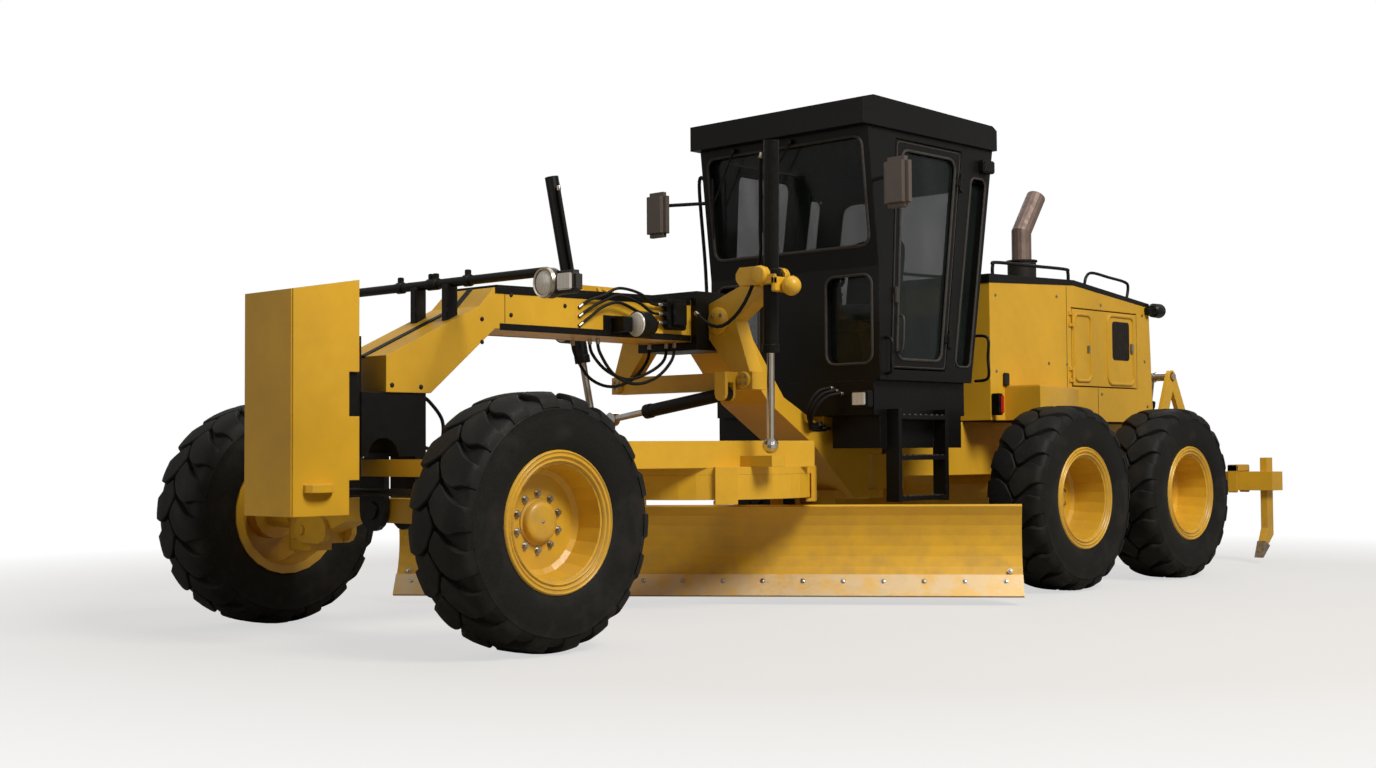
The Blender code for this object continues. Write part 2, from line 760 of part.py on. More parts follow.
def make_bodies():
    add_body("root", (0, 0, 0))
    for name, side in SIDES:
        add_body("lean_" + name, (side * LEAN_PIN_X, 0, LEAN_PIN_Z), "root")
        add_body("knuckle_" + name, (side * KINGPIN_X, 0, TYRE_RADIUS), "lean_" + name)
        add_body("wheel_front_" + name, (side * TRACK_HALF, 0, TYRE_RADIUS), "knuckle_" + name)
        add_body("lift_barrel_" + name, sided(LIFT_TRUNNION, side), "root")
        add_body("lift_rod_" + name, sided(LIFT_BALL, side), "lift_barrel_" + name)
        add_body("cab_door_" + name, sided(CAB_HINGE[0], side), "root")
    add_body("lean_bar", (LEAN_PIN_X, LEAN_BAR_Y, LEAN_PIN_Z + LEAN_BAR_RISE), "lean_left")
    add_body("tie_end", (KINGPIN_X, -STEER_ARM_REACH, TIE_ROD_Z), "knuckle_left")
    add_body("tie_rod", (KINGPIN_X, -STEER_ARM_REACH, TIE_ROD_Z), "tie_end")
    add_body("drawbar_ball", (0, BALL_Y, BALL_Z), "root")
    add_body("drawbar", (0, BALL_Y, BALL_Z), "drawbar_ball")
    add_body("circle", (0, CIRCLE_Y, CIRCLE_TOP_Z), "drawbar")
    add_body("blade_carrier", blade_point(0, TIP_PIN_Y, TIP_PIN_Z), "circle")
    add_body("moldboard", blade_point(0, RAIL_Y, RAIL_HIGH_Z), "blade_carrier")
    add_body("shift_barrel", SHIFT_FOOT, "root")
    add_body("shift_rod", SHIFT_EYE, "shift_barrel")
    add_body("rear_frame", (0, ARTICULATION_Y, HITCH_TOP_Z), "root")
    for name, side in SIDES:
        for row, y in WHEEL_ROWS[1:]:
            add_body("wheel_" + row + "_" + name, (side * TRACK_HALF, y, TYRE_RADIUS), "rear_frame")
        add_body("hood_door_" + name, sided(HOOD_HINGE[0], side), "rear_frame")
    add_body("ripper", (0, RIPPER_PIN_Y, RIPPER_PIN_Z), "rear_frame")
    add_body("ripper_barrels", (0, *RIPPER_CYLINDER_FOOT), "rear_frame")
    add_body("ripper_rods", (0, RIPPER_APEX_Y, RIPPER_APEX_Z), "ripper_barrels")


# Wheels
def make_tyre(node, body, side, y):
    """Tyre with staggered, leaning lugs; the grooves run out at the shoulders."""
    shape = bmesh.new()
    stations = TYRE_LUGS * 4
    pitch = math.tau / TYRE_LUGS
    station_shares = (0.0, 0.56, 0.66, 0.90)
    low = -LUG_HEIGHT
    widest = pitch * station_shares[2]

    def ring(x, radius, stagger, lean, count=stations, lugs=True):
        points = []
        for i in range(count):
            step = i if count == stations else i * 2
            lug, part = divmod(step, 4)
            turn = (lug + 0.5 + station_shares[part]) * pitch + lean
            raised = part in ((0, 1) if not stagger else (2, 3))
            depth = 0 if raised or not lugs else low
            r = radius + depth
            points.append(shape.verts.new((x, r * math.cos(turn), r * math.sin(turn))))
        return points

    half = TYRE_WIDTH / 2
    shoulder = TYRE_RADIUS - SHOULDER_DROP
    tread = [ring(-SHOULDER_HALF, shoulder, True, LUG_LEAN),
             ring(-CROWN_HALF, TYRE_RADIUS, True, 0),
             ring(CROWN_HALF, TYRE_RADIUS, False, 0),
             ring(SHOULDER_HALF, shoulder, False, LUG_LEAN)]
    walls = []
    for sign in (-1, 1):
        bulge = ring(sign * half, SIDEWALL_RADIUS, False, LUG_LEAN, stations // 2, False)
        bead = ring(sign * RIM_HALF_WIDTH, (RIM_RADIUS + SEAT_GAP) / math.cos(widest / 2), False,
                    LUG_LEAN, stations // 2, False)
        walls.append((bulge, bead))

    def strip(a, b, quads):
        n = len(a)
        for i in range(n):
            j = (i + 1) % n
            if quads:
                shape.faces.new((a[i], a[j], b[j], b[i]))
            elif i % 2 == 0:
                k = i // 2
                m = (k + 1) % len(b)
                shape.faces.new((a[i], a[j], b[k]))
                shape.faces.new((a[j], b[m], b[k]))
                shape.faces.new((a[j], a[(i + 2) % n], b[m]))

    for a, b in zip(tread, tread[1:]):
        strip(a, b, True)
    for outer, (bulge, bead) in zip((tread[0], tread[-1]), walls):
        strip(outer, bulge, False)
        strip(bulge, bead, True)
    strip(walls[0][1], walls[1][1], True)
    finish_shape(shape)
    shape = on_side(side, shape)
    shape.transform(Matrix.Translation((side * TRACK_HALF, y, TYRE_RADIUS)))
    add_node(node, body, "rubber", [shape], crease=30)


def make_rim(node, body, side, y, disc_x):
    inner = disc_x - DISC_THICKNESS
    cap = disc_x + CAP_REACH
    bore_end = RIM_HALF_WIDTH - RIM_LIP
    profile = [(-RIM_HALF_WIDTH, RIM_RADIUS), (RIM_HALF_WIDTH, RIM_RADIUS),
               (RIM_HALF_WIDTH, RIM_RADIUS - RIM_LIP), (bore_end, RIM_BORE),
               (disc_x + RIM_LIP, DISH_RADIUS), (disc_x, DISC_RADIUS),
               (disc_x, CAP_RADIUS), (cap, CAP_RADIUS * CAP_TOP_SHARE)]
    back = [(inner, BACK_BORE), (-RIM_HALF_WIDTH, BACK_BORE)]
    shape = bmesh.new()
    rings = [[shape.verts.new(p) for p in ring_points((x, 0, 0), (1, 0, 0), r, RIM_FACETS)]
             for x, r in profile + back[::-1]]
    count = RIM_FACETS
    front = len(profile)
    pairs = [(i, i + 1) for i in range(front - 1)] + [(0, front), (front, front + 1)]
    for a, b in pairs:
        for i in range(count):
            j = (i + 1) % count
            shape.faces.new((rings[a][i], rings[a][j], rings[b][j], rings[b][i]))
    shape.faces.new(rings[front - 1])
    shape.faces.new(rings[front + 1])
    finish_shape(shape)
    shape = on_side(side, shape)
    shape.transform(Matrix.Translation((side * TRACK_HALF, y, TYRE_RADIUS)))
    add_node(node, body, "yellow_paint", [shape], crease=40)


def make_wheels():
    for row, y in WHEEL_ROWS:
        disc_x = FRONT_DISC_X if row == "front" else REAR_DISC_X
        for name, side in SIDES:
            body = "wheel_" + row + "_" + name
            make_tyre("tyre_" + row + "_" + name, body, side, y)
            make_rim("rim_" + row + "_" + name, body, side, y, disc_x)


# Front axle
def make_front_axle():
    plate_in = YOKE_HALF_DEPTH + CLEVIS_GAP
    plate_out = plate_in + CLEVIS_THICKNESS
    beam_low = BEAM_TOP_Z - BEAM_HEIGHT
    shoulder_x = BEAM_END_X / 2
    outline = [(BEAM_END_X, LEAN_PIN_Z - CLEVIS_RADIUS / 2), (BEAM_END_X, BEAM_END_TOP_Z),
               (shoulder_x, BEAM_TOP_Z), (-shoulder_x, BEAM_TOP_Z), (-BEAM_END_X, BEAM_END_TOP_Z),
               (-BEAM_END_X, LEAN_PIN_Z - CLEVIS_RADIUS / 2), (-shoulder_x, beam_low),
               (shoulder_x, beam_low)]
    shapes = [prism("Y", -BEAM_HALF_DEPTH, BEAM_HALF_DEPTH, outline)]
    root_x = BEAM_END_X - CLEVIS_ROOT
    for side in (1, -1):
        shapes.append(block(sorted((side * root_x, side * BEAM_END_X)), (-plate_out, plate_out),
                            (LEAN_PIN_Z - CLEVIS_RADIUS, BEAM_END_TOP_Z + WELD_OVERLAP)))
        for front in (1, -1):
            low, high = sorted((front * plate_in, front * plate_out))
            shapes.append(round_end_bar("Y", low, high, (side * root_x, LEAN_PIN_Z),
                                        (side * LEAN_PIN_X, LEAN_PIN_Z), CLEVIS_RADIUS))
        shapes.append(rod((side * LEAN_PIN_X, -plate_out - PIN_HEAD, LEAN_PIN_Z),
                          (side * LEAN_PIN_X, plate_out + PIN_HEAD, LEAN_PIN_Z), PIN_RADIUS))
    hole = rod((0, -BEAM_HALF_DEPTH - CUT_OVERRUN, AXLE_PIN_Z),
               (0, BEAM_HALF_DEPTH + CUT_OVERRUN, AXLE_PIN_Z), AXLE_PIN_RADIUS + SEAT_GAP * 3)
    add_node("front_axle", "root", "yellow_paint", shapes, [hole])


def make_lean_yokes():
    top = LEAN_PIN_Z + LEAN_BAR_RISE
    bar_half = LEAN_BAR_HEIGHT / 2
    front = LEAN_BAR_Y + LEAN_BAR_DEPTH / 2
    web_x = (LEAN_PIN_X - YOKE_HALF_WEB, LEAN_PIN_X + YOKE_HALF_WEB)
    for name, side in SIDES:
        web = block(web_x, (-YOKE_HALF_DEPTH, YOKE_HALF_DEPTH), (YOKE_BOTTOM_Z, top + bar_half))
        horn = block(web_x, (front + YOKE_BAR_GAP, 0), (top - bar_half, top + bar_half))
        lugs = []
        for low in (YOKE_BOTTOM_Z, YOKE_TOP_Z - YOKE_LUG_HEIGHT):
            lugs.append(round_end_bar("Z", low, low + YOKE_LUG_HEIGHT, (LEAN_PIN_X, 0),
                                      (KINGPIN_X, 0), YOKE_LUG_REACH))
        pin = rod((LEAN_PIN_X, LEAN_BAR_Y - LEAN_BAR_DEPTH / 2 - PIN_HEAD, top),
                  (LEAN_PIN_X, 0, top), PIN_RADIUS)
        kingpin = rod((KINGPIN_X, 0, YOKE_BOTTOM_Z - PIN_HEAD), (KINGPIN_X, 0, YOKE_TOP_Z + PIN_HEAD),
                      KINGPIN_RADIUS)
        hole = rod((LEAN_PIN_X, -YOKE_HALF_DEPTH - CUT_OVERRUN, LEAN_PIN_Z),
                   (LEAN_PIN_X, YOKE_HALF_DEPTH + CUT_OVERRUN, LEAN_PIN_Z), PIN_RADIUS + PIN_GAP)
        shapes = [on_side(side, s) for s in [web, horn, *lugs, pin, kingpin]]
        add_node("lean_yoke_" + name, "lean_" + name, "yellow_paint", shapes,
                 [on_side(side, hole)])
    bar = round_end_bar("Y", LEAN_BAR_Y - LEAN_BAR_DEPTH / 2, LEAN_BAR_Y + LEAN_BAR_DEPTH / 2,
                        (-LEAN_PIN_X, top), (LEAN_PIN_X, top), bar_half)
    holes = [rod((x, LEAN_BAR_Y - LEAN_BAR_DEPTH, top), (x, LEAN_BAR_Y + LEAN_BAR_DEPTH, top),
                 PIN_RADIUS + PIN_GAP) for x in (-LEAN_PIN_X, LEAN_PIN_X)]
    add_node("lean_bar", "lean_bar", "yellow_paint", [bar], holes)


def make_knuckles():
    barrel_low = YOKE_BOTTOM_Z + YOKE_LUG_HEIGHT + LUG_GAP
    barrel_high = YOKE_TOP_Z - YOKE_LUG_HEIGHT - LUG_GAP
    hub_end = TRACK_HALF + FRONT_DISC_X - DISC_THICKNESS - SEAT_GAP
    arm = (STEER_ARM_Z - STEER_ARM_HEIGHT / 2, STEER_ARM_Z + STEER_ARM_HEIGHT / 2)
    for name, side in SIDES:
        barrel = rod((KINGPIN_X, 0, barrel_low), (KINGPIN_X, 0, barrel_high), BARREL_RADIUS)
        spindle = rod((KINGPIN_X, 0, TYRE_RADIUS), (hub_end - HUB_LENGTH / 2, 0, TYRE_RADIUS),
                      SPINDLE_RADIUS)
        hub = rod((hub_end - HUB_LENGTH, 0, TYRE_RADIUS), (hub_end, 0, TYRE_RADIUS), HUB_RADIUS, HUB_FACETS)
        lever = round_end_bar("Z", arm[0], arm[1], (KINGPIN_X, 0), (KINGPIN_X, -STEER_ARM_REACH),
                              STEER_ARM_HALF)
        stud = rod((KINGPIN_X, -STEER_ARM_REACH, arm[0]),
                   (KINGPIN_X, -STEER_ARM_REACH, TIE_ROD_Z + TIE_ROD_RADIUS + PIN_HEAD),
                   STUD_RADIUS, SMALL_FACETS)
        hole = rod((KINGPIN_X, 0, barrel_low - CUT_OVERRUN), (KINGPIN_X, 0, barrel_high + CUT_OVERRUN),
                   KINGPIN_RADIUS + PIN_GAP)
        shapes = [on_side(side, s) for s in (barrel, spindle, hub, lever, stud)]
        add_node("knuckle_" + name, "knuckle_" + name, "yellow_paint", shapes,
                 [on_side(side, hole)])
    left = (KINGPIN_X, -STEER_ARM_REACH, TIE_ROD_Z)
    right = (-KINGPIN_X, -STEER_ARM_REACH, TIE_ROD_Z)
    reach = TIE_EYE_RADIUS * 2
    slot_end = (-KINGPIN_X + STUD_TRAVEL, -STEER_ARM_REACH)
    bore = rod((left[0], left[1], left[2] - reach), (left[0], left[1], left[2] + reach),
               STUD_RADIUS + PIN_GAP, SMALL_FACETS)
    slot = round_end_bar("Z", TIE_ROD_Z - reach, TIE_ROD_Z + reach, right[:2], slot_end,
                         STUD_RADIUS + STUD_LEAN_ROOM)
    end = ball(left, (TIE_EYE_RADIUS - TIE_EYE_WALL) * math.cos(math.pi / ROUND_FACETS) - SEAT_GAP,
               (0, 0, 1))
    foot = rod((KINGPIN_X, -STEER_ARM_REACH, arm[1] + SEAT_GAP), left, STUD_COLLAR_RADIUS)
    add_node("tie_rod_end", "tie_end", "steel", [end, foot], [bore])
    bar = rod(left, right, TIE_ROD_RADIUS)
    half = TIE_ROD_RADIUS * TIE_EYE_SHARE
    eyes = [eye(left, (0, 0, 1), TIE_EYE_RADIUS, half * 2),
            round_end_bar("Z", TIE_ROD_Z - half, TIE_ROD_Z + half, right[:2], slot_end, SLOT_EYE_RADIUS)]
    socket = eye(left, (0, 0, 1), TIE_EYE_RADIUS - TIE_EYE_WALL, TIE_ROD_RADIUS * 3)
    add_node("tie_rod", "tie_rod", "black_paint", [bar, *eyes], [socket, slot])


# Front frame
def make_front_frame():
    neck = [(NOSE_FRONT_Y, NOSE_BOTTOM_Z), (NOSE_FRONT_Y, NOSE_TOP_Z),
            (NOSE_SLOPE_END_Y, NOSE_SLOPE_END_Z), (NECK_FRONT_Y, NECK_TOP_Z),
            (NECK_REAR_Y, NECK_REAR_TOP_Z), (GOOSE_TOP_Y, GOOSE_TOP_Z),
            (GOOSE_BEND_Y, HITCH_TOP_Z + GOOSE_RISE), (HITCH_FRONT_Y, HITCH_TOP_Z),
            (HITCH_FRONT_Y, HITCH_BOTTOM_Z), (GOOSE_FOOT_Y, HITCH_BOTTOM_Z),
            (GOOSE_UNDER_Y, GOOSE_UNDER_Z), (GOOSE_THROAT_Y, GOOSE_THROAT_Z),
            (NECK_THROAT_Y, NECK_BOTTOM_Z), (NECK_KNEE_Y, NECK_BOTTOM_Z + NECK_KNEE_RISE),
            (KNEE_BOTTOM_Y, NOSE_BOTTOM_Z)]
    shapes = [prism("X", -FRAME_HALF, FRAME_HALF, neck)]
    shapes.append(block((-CAB_PEDESTAL_HALF, CAB_PEDESTAL_HALF), CAB_PEDESTAL_Y,
                        (HITCH_TOP_Z, CAB_BASE_Z - SEAT_GAP)))
    for low in (HITCH_BOTTOM_Z, HITCH_TOP_Z - HITCH_PLATE):
        shapes.append(round_end_bar("Z", low, low + HITCH_PLATE, (0, HITCH_FRONT_Y - HITCH_RADIUS),
                                    (0, ARTICULATION_Y), HITCH_RADIUS, ROUND_FACETS))
    shapes.append(rod((0, ARTICULATION_Y, HITCH_BOTTOM_Z - PIN_HEAD),
                      (0, ARTICULATION_Y, HITCH_TOP_Z + PIN_HEAD), HITCH_PIN_RADIUS))
    slot = [(y, z) for y, z in ((NOSE_FRONT_Y - CUT_OVERRUN, NOSE_TOP_Z - SEAM_DEPTH),
                                (NOSE_FRONT_Y - CUT_OVERRUN, NOSE_TOP_Z + CUT_OVERRUN * 2),
                                (NOSE_SLOPE_END_Y, NOSE_SLOPE_END_Z + CUT_OVERRUN * 2),
                                (NOSE_SLOPE_END_Y, NOSE_SLOPE_END_Z - SEAM_DEPTH))]
    add_node("front_frame", "root", "yellow_paint", shapes,
             [prism("X", -NOSE_SLOT_HALF, NOSE_SLOT_HALF, slot)])


def make_bolster():
    """Black box under the nose that carries the front axle's pin and the drawbar's ball."""
    top = NOSE_BOTTOM_Z - SEAT_GAP
    shapes = [block((-BOLSTER_HALF, BOLSTER_HALF), (BOLSTER_FRONT_Y, BOLSTER_REAR_Y),
                    (BOLSTER_BOTTOM_Z, top)),
              block((-PUSH_PLATE_HALF, PUSH_PLATE_HALF), (PUSH_LIP_Y + SEAT_GAP,
                    BOLSTER_FRONT_Y + WELD_OVERLAP), PUSH_PLATE_Z),
              block((-PUSH_HALF * KEEPER_SHARE, PUSH_HALF * KEEPER_SHARE),
                    (PUSH_REAR_Y + SEAT_GAP, PUSH_LIP_Y + WELD_OVERLAP),
                    (PUSH_LIP_LOWER_Z[1] + SEAT_GAP, PUSH_LIP_BREAK_Z - SEAT_GAP))]
    leg_in = BEAM_HALF_DEPTH + BOLSTER_LEG_GAP
    leg_out = leg_in + BOLSTER_LEG_THICKNESS
    for front in (1, -1):
        low, high = sorted((front * leg_in, front * leg_out))
        shapes.append(round_end_bar("Y", low, high, (0, BOLSTER_BOTTOM_Z + BOLSTER_LEG_HALF),
                                    (0, AXLE_PIN_Z), BOLSTER_LEG_HALF, ROUND_FACETS))
    shapes.append(rod((0, -leg_out - PIN_HEAD, AXLE_PIN_Z), (0, leg_out + PIN_HEAD, AXLE_PIN_Z),
                      AXLE_PIN_RADIUS))
    for low in (BALL_Z - BALL_RADIUS - BALL_LUG_HEIGHT - PIN_GAP, BALL_Z + BALL_RADIUS + PIN_GAP):
        shapes.append(round_end_bar("Z", low, low + BALL_LUG_HEIGHT, (0, leg_in + BALL_LUG_HALF),
                                    (0, BALL_Y), BALL_LUG_HALF, ROUND_FACETS))
    shapes.append(block((-BALL_LUG_HALF, BALL_LUG_HALF), (leg_in, leg_in + BALL_WEB),
                        (BALL_Z - BALL_RADIUS - BALL_LUG_HEIGHT, BOLSTER_BOTTOM_Z + WELD_OVERLAP)))
    arch = rod((-BOLSTER_HALF - CUT_OVERRUN, ARCH_Y, BOLSTER_BOTTOM_Z),
               (BOLSTER_HALF + CUT_OVERRUN, ARCH_Y, BOLSTER_BOTTOM_Z), ARCH_RADIUS)
    bore = rod((0, BALL_Y, BALL_Z - BALL_RADIUS * 3), (0, BALL_Y, BALL_Z + BALL_RADIUS * 3),
               BALL_STUB_RADIUS + PIN_GAP)
    add_node("front_bolster", "root", "black_paint", shapes, [arch, bore])


def make_push_block():
    slope = (PUSH_REAR_TOP_Z - PUSH_FRONT_TOP_Z) / (PUSH_REAR_Y - PUSH_FRONT_Y)
    lip_top = PUSH_REAR_TOP_Z + slope * (PUSH_LIP_Y - PUSH_REAR_Y)
    outline = [(PUSH_FRONT_Y, PUSH_BOTTOM_Z), (PUSH_FRONT_Y, PUSH_FRONT_TOP_Z),
               (PUSH_LIP_Y, lip_top), (PUSH_LIP_Y, PUSH_LIP_BREAK_Z),
               (PUSH_REAR_Y, PUSH_LIP_BREAK_Z), (PUSH_REAR_Y, PUSH_LIP_LOWER_Z[1]),
               (PUSH_LIP_Y, PUSH_LIP_LOWER_Z[1]), (PUSH_LIP_Y, PUSH_LIP_LOWER_Z[0]),
               (PUSH_REAR_Y, PUSH_LIP_LOWER_Z[0]), (PUSH_REAR_Y, PUSH_BOTTOM_Z)]
    body = prism("X", -PUSH_HALF, PUSH_HALF, outline)
    bmesh.ops.bevel(body, geom=[e for e in body.edges if is_push_corner(e)], offset=PUSH_BEVEL,
                    segments=2, affect="EDGES")
    shapes = [body]
    for side in (1, -1):
        lug = round_end_bar("Z", TOW_LUG_Z, TOW_LUG_Z + TOW_LUG_HEIGHT,
                            (side * PUSH_HALF, TOW_LUG_Y[0] + TOW_LUG_REACH),
                            (side * PUSH_HALF, TOW_LUG_Y[1] - TOW_LUG_REACH), TOW_LUG_REACH)
        shapes.append(lug)
    add_node("push_block", "root", "yellow_paint", shapes)


def is_push_corner(edge):
    a, b = (v.co for v in edge.verts)
    upright = abs(a.x - b.x) < PUSH_BEVEL and abs(a.y - PUSH_FRONT_Y) < PUSH_BEVEL
    return upright and abs(b.y - PUSH_FRONT_Y) < PUSH_BEVEL and abs(a.z - b.z) > PUSH_BEVEL


# Drawbar, circle and blade
def make_drawbar():
    lug = BALL_RADIUS + PIN_GAP
    centre = (0, BALL_Y, BALL_Z)
    cross = spool(centre, (1, 0, 0), BALL_STUB_RADIUS, BALL_CHEEK[1], BALL_COLLAR_RADIUS,
                  BALL_CHEEK[0] - SEAT_GAP, BALL_RADIUS)
    stem = spool(centre, (0, 0, 1), BALL_STUB_RADIUS, lug + BALL_LUG_HEIGHT, BALL_COLLAR_RADIUS,
                 lug - SEAT_GAP)
    add_node("drawbar_ball", "drawbar_ball", "steel", [cross, stem])

    low = DRAW_BEAM_TOP_Z - DRAW_BEAM_HEIGHT
    top = DRAW_BEAM_TOP_Z
    half = DRAW_BEAM_WIDTH / 2
    shapes = []
    for side in (1, -1):
        sections = []
        for y, x in ((DRAW_NOSE_Y, DRAW_NOSE_HALF - half), (DRAW_REAR_Y, DRAW_REAR_HALF)):
            sections.append([(side * (x - half), y, low), (side * (x + half), y, low),
                             (side * (x + half), y, top), (side * (x - half), y, top)])
        shapes.append(loft(sections))
        cheek = sorted((side * BALL_CHEEK[0], side * BALL_CHEEK[1]))
        shapes.append(round_end_bar("X", cheek[0], cheek[1], (BALL_Y, BALL_Z),
                                    (DRAW_NOSE_Y + half, BALL_Z + half / 2), BALL_LUG_HALF))
    shapes.append(block((-DRAW_NOSE_HALF, DRAW_NOSE_HALF), (DRAW_NOSE_Y - half, DRAW_NOSE_Y + half * 3),
                        (low - half, top)))
    for y, thickness in ((DRAW_REAR_Y - half, half), (CIRCLE_Y - CIRCLE_RADIUS, half)):
        reach = DRAW_REAR_HALF * (y - DRAW_NOSE_Y) / (DRAW_REAR_Y - DRAW_NOSE_Y)
        shapes.append(block((-reach, reach), (y - thickness, y + thickness - WELD_OVERLAP),
                            (low + WELD_OVERLAP, top - WELD_OVERLAP)))
    ring_low = CIRCLE_TOP_Z + SEAT_GAP
    shapes.append(hoop((0, CIRCLE_Y, 0), (0, 0, 1),
                       [(ring_low, CIRCLE_BORE), (ring_low, CIRCLE_RADIUS),
                        (low + WELD_OVERLAP, CIRCLE_RADIUS), (low + WELD_OVERLAP, CIRCLE_BORE)],
                       CIRCLE_FACETS))
    for turn in SHOE_TURNS:
        shoe = [(CIRCLE_RADIUS - SHOE_LIP, CIRCLE_TOP_Z - CIRCLE_HEIGHT - CIRCLE_SHOE_GAP),
                (CIRCLE_RADIUS + CIRCLE_SHOE_GAP, CIRCLE_TOP_Z - CIRCLE_HEIGHT - CIRCLE_SHOE_GAP),
                (CIRCLE_RADIUS + CIRCLE_SHOE_GAP, ring_low),
                (CIRCLE_RADIUS - SHOE_LIP, ring_low), (CIRCLE_RADIUS - SHOE_LIP, low + WELD_OVERLAP),
                (CIRCLE_RADIUS + SHOE_DEPTH, low + WELD_OVERLAP),
                (CIRCLE_RADIUS + SHOE_DEPTH, CIRCLE_TOP_Z - CIRCLE_HEIGHT - SHOE_DEPTH),
                (CIRCLE_RADIUS - SHOE_LIP, CIRCLE_TOP_Z - CIRCLE_HEIGHT - SHOE_DEPTH)]
        shape = prism("Y", -SHOE_HALF, SHOE_HALF, shoe)
        shape.transform(Matrix.Translation((0, CIRCLE_Y, 0)) @ Matrix.Rotation(turn, 4, "Z"))
        shapes.append(shape)
    ball_x, ball_y, ball_z = LIFT_BALL
    inner = ball_x - BALL_BRACKET_REACH
    for side in (1, -1):
        shapes.append(block(sorted((side * inner, side * (ball_x + BALL_BRACKET_HALF))),
                            (ball_y - BALL_BRACKET_HALF, ball_y + BALL_BRACKET_HALF),
                            (low + WELD_OVERLAP, ball_z - LIFT_BALL_RADIUS - LIFT_BALL_GAP)))
    eye_x, eye_y, eye_z = SHIFT_EYE
    shapes.append(block((eye_x - SHIFT_BRACKET_HALF, eye_x + SHIFT_BRACKET_HALF),
                        (eye_y - SHIFT_BRACKET_HALF, eye_y + SHIFT_BRACKET_HALF),
                        (low + WELD_OVERLAP, eye_z - SHIFT_EYE_RADIUS - SHIFT_EYE_ROOM)))
    hole = rod((-BALL_CHEEK[1] - CUT_OVERRUN, BALL_Y, BALL_Z),
               (BALL_CHEEK[1] + CUT_OVERRUN, BALL_Y, BALL_Z), BALL_STUB_RADIUS + PIN_GAP)
    pocket = block((-BALL_CHEEK[0], BALL_CHEEK[0]), (BALL_Y - BALL_RADIUS, BALL_POCKET_Y),
                   (low - half - CUT_OVERRUN, top + CUT_OVERRUN))
    behind = block((-CIRCLE_RADIUS, CIRCLE_RADIUS), (DRAW_PLATE_END_Y, CIRCLE_Y + CIRCLE_RADIUS * 2),
                   (CIRCLE_TOP_Z - CIRCLE_HEIGHT * 2, top + CUT_OVERRUN))
    add_node("drawbar", "drawbar", "yellow_paint", shapes, [hole, pocket, behind])


def make_circle():
    low = CIRCLE_TOP_Z - CIRCLE_HEIGHT
    ring = hoop((0, CIRCLE_Y, 0), (0, 0, 1),
                [(low, CIRCLE_BORE), (low, CIRCLE_RADIUS), (CIRCLE_TOP_Z, CIRCLE_RADIUS),
                 (CIRCLE_TOP_Z, CIRCLE_BORE)], CIRCLE_FACETS)
    shapes = [ring]
    arm = [(ARM_ROOT_Y[0], low + WELD_OVERLAP), (ARM_ROOT_Y[1], low + WELD_OVERLAP),
           (ARM_ROOT_Y[1], ARM_KNEE_Z), (TIP_PIN_Y + TIP_EYE_RADIUS, TIP_PIN_Z),
           (TIP_PIN_Y, TIP_PIN_Z - TIP_EYE_RADIUS), (TIP_PIN_Y - TIP_EYE_RADIUS, TIP_PIN_Z)]
    holes = []
    for side in (1, -1):
        x = sorted((side * BLADE_ARM_X[0], side * BLADE_ARM_X[1]))
        shapes.append(at_blade(prism("X", x[0], x[1], arm)))
        holes.append(at_blade(rod((x[0] - CUT_OVERRUN, TIP_PIN_Y, TIP_PIN_Z),
                                  (x[1] + CUT_OVERRUN, TIP_PIN_Y, TIP_PIN_Z), TIP_PIN_RADIUS + PIN_GAP)))
    shapes.append(at_blade(rod((-BLADE_ARM_X[1] + WELD_OVERLAP, ARM_TUBE[0], ARM_TUBE[1]),
                               (BLADE_ARM_X[1] - WELD_OVERLAP, ARM_TUBE[0], ARM_TUBE[1]), ARM_TUBE_RADIUS)))
    add_node("circle", "circle", "yellow_paint", shapes, holes)


def blade_section():
    """Front face's points (behind the edge's line, height) from the foot to the top."""
    along = Vector((math.cos(BLADE_RAKE), math.sin(BLADE_RAKE)))
    back = Vector((along.y, -along.x))
    foot = Vector((0, BLADE_BOTTOM_Z + EDGE_THICKNESS * along.x))
    seat = foot + back * (EDGE_THICKNESS + SEAT_GAP)
    start = seat + along * EDGE_WIDTH
    centre = start - BLADE_CURVE_RADIUS * Vector((math.sin(BLADE_RAKE), -math.cos(BLADE_RAKE)))
    rise = (BLADE_TOP_Z - start.y) / BLADE_CURVE_RADIUS
    last = math.acos(math.cos(BLADE_RAKE) - rise)
    points = [(seat + along * EDGE_BARE, back)]
    for i in range(BLADE_ARC_STEPS + 1):
        turn = BLADE_RAKE + (last - BLADE_RAKE) * i / BLADE_ARC_STEPS
        outward = Vector((math.sin(turn), -math.cos(turn)))
        points.append((centre + BLADE_CURVE_RADIUS * outward, outward))
    return foot, along, back, points


def middle_x():
    """Middle of the width over the slanting blade, whose back sticks out at its right end."""
    depth = max((point + outward * BLADE_THICKNESS).x for point, outward in blade_section()[3])
    return -depth * math.sin(BLADE_ANGLE) / 2


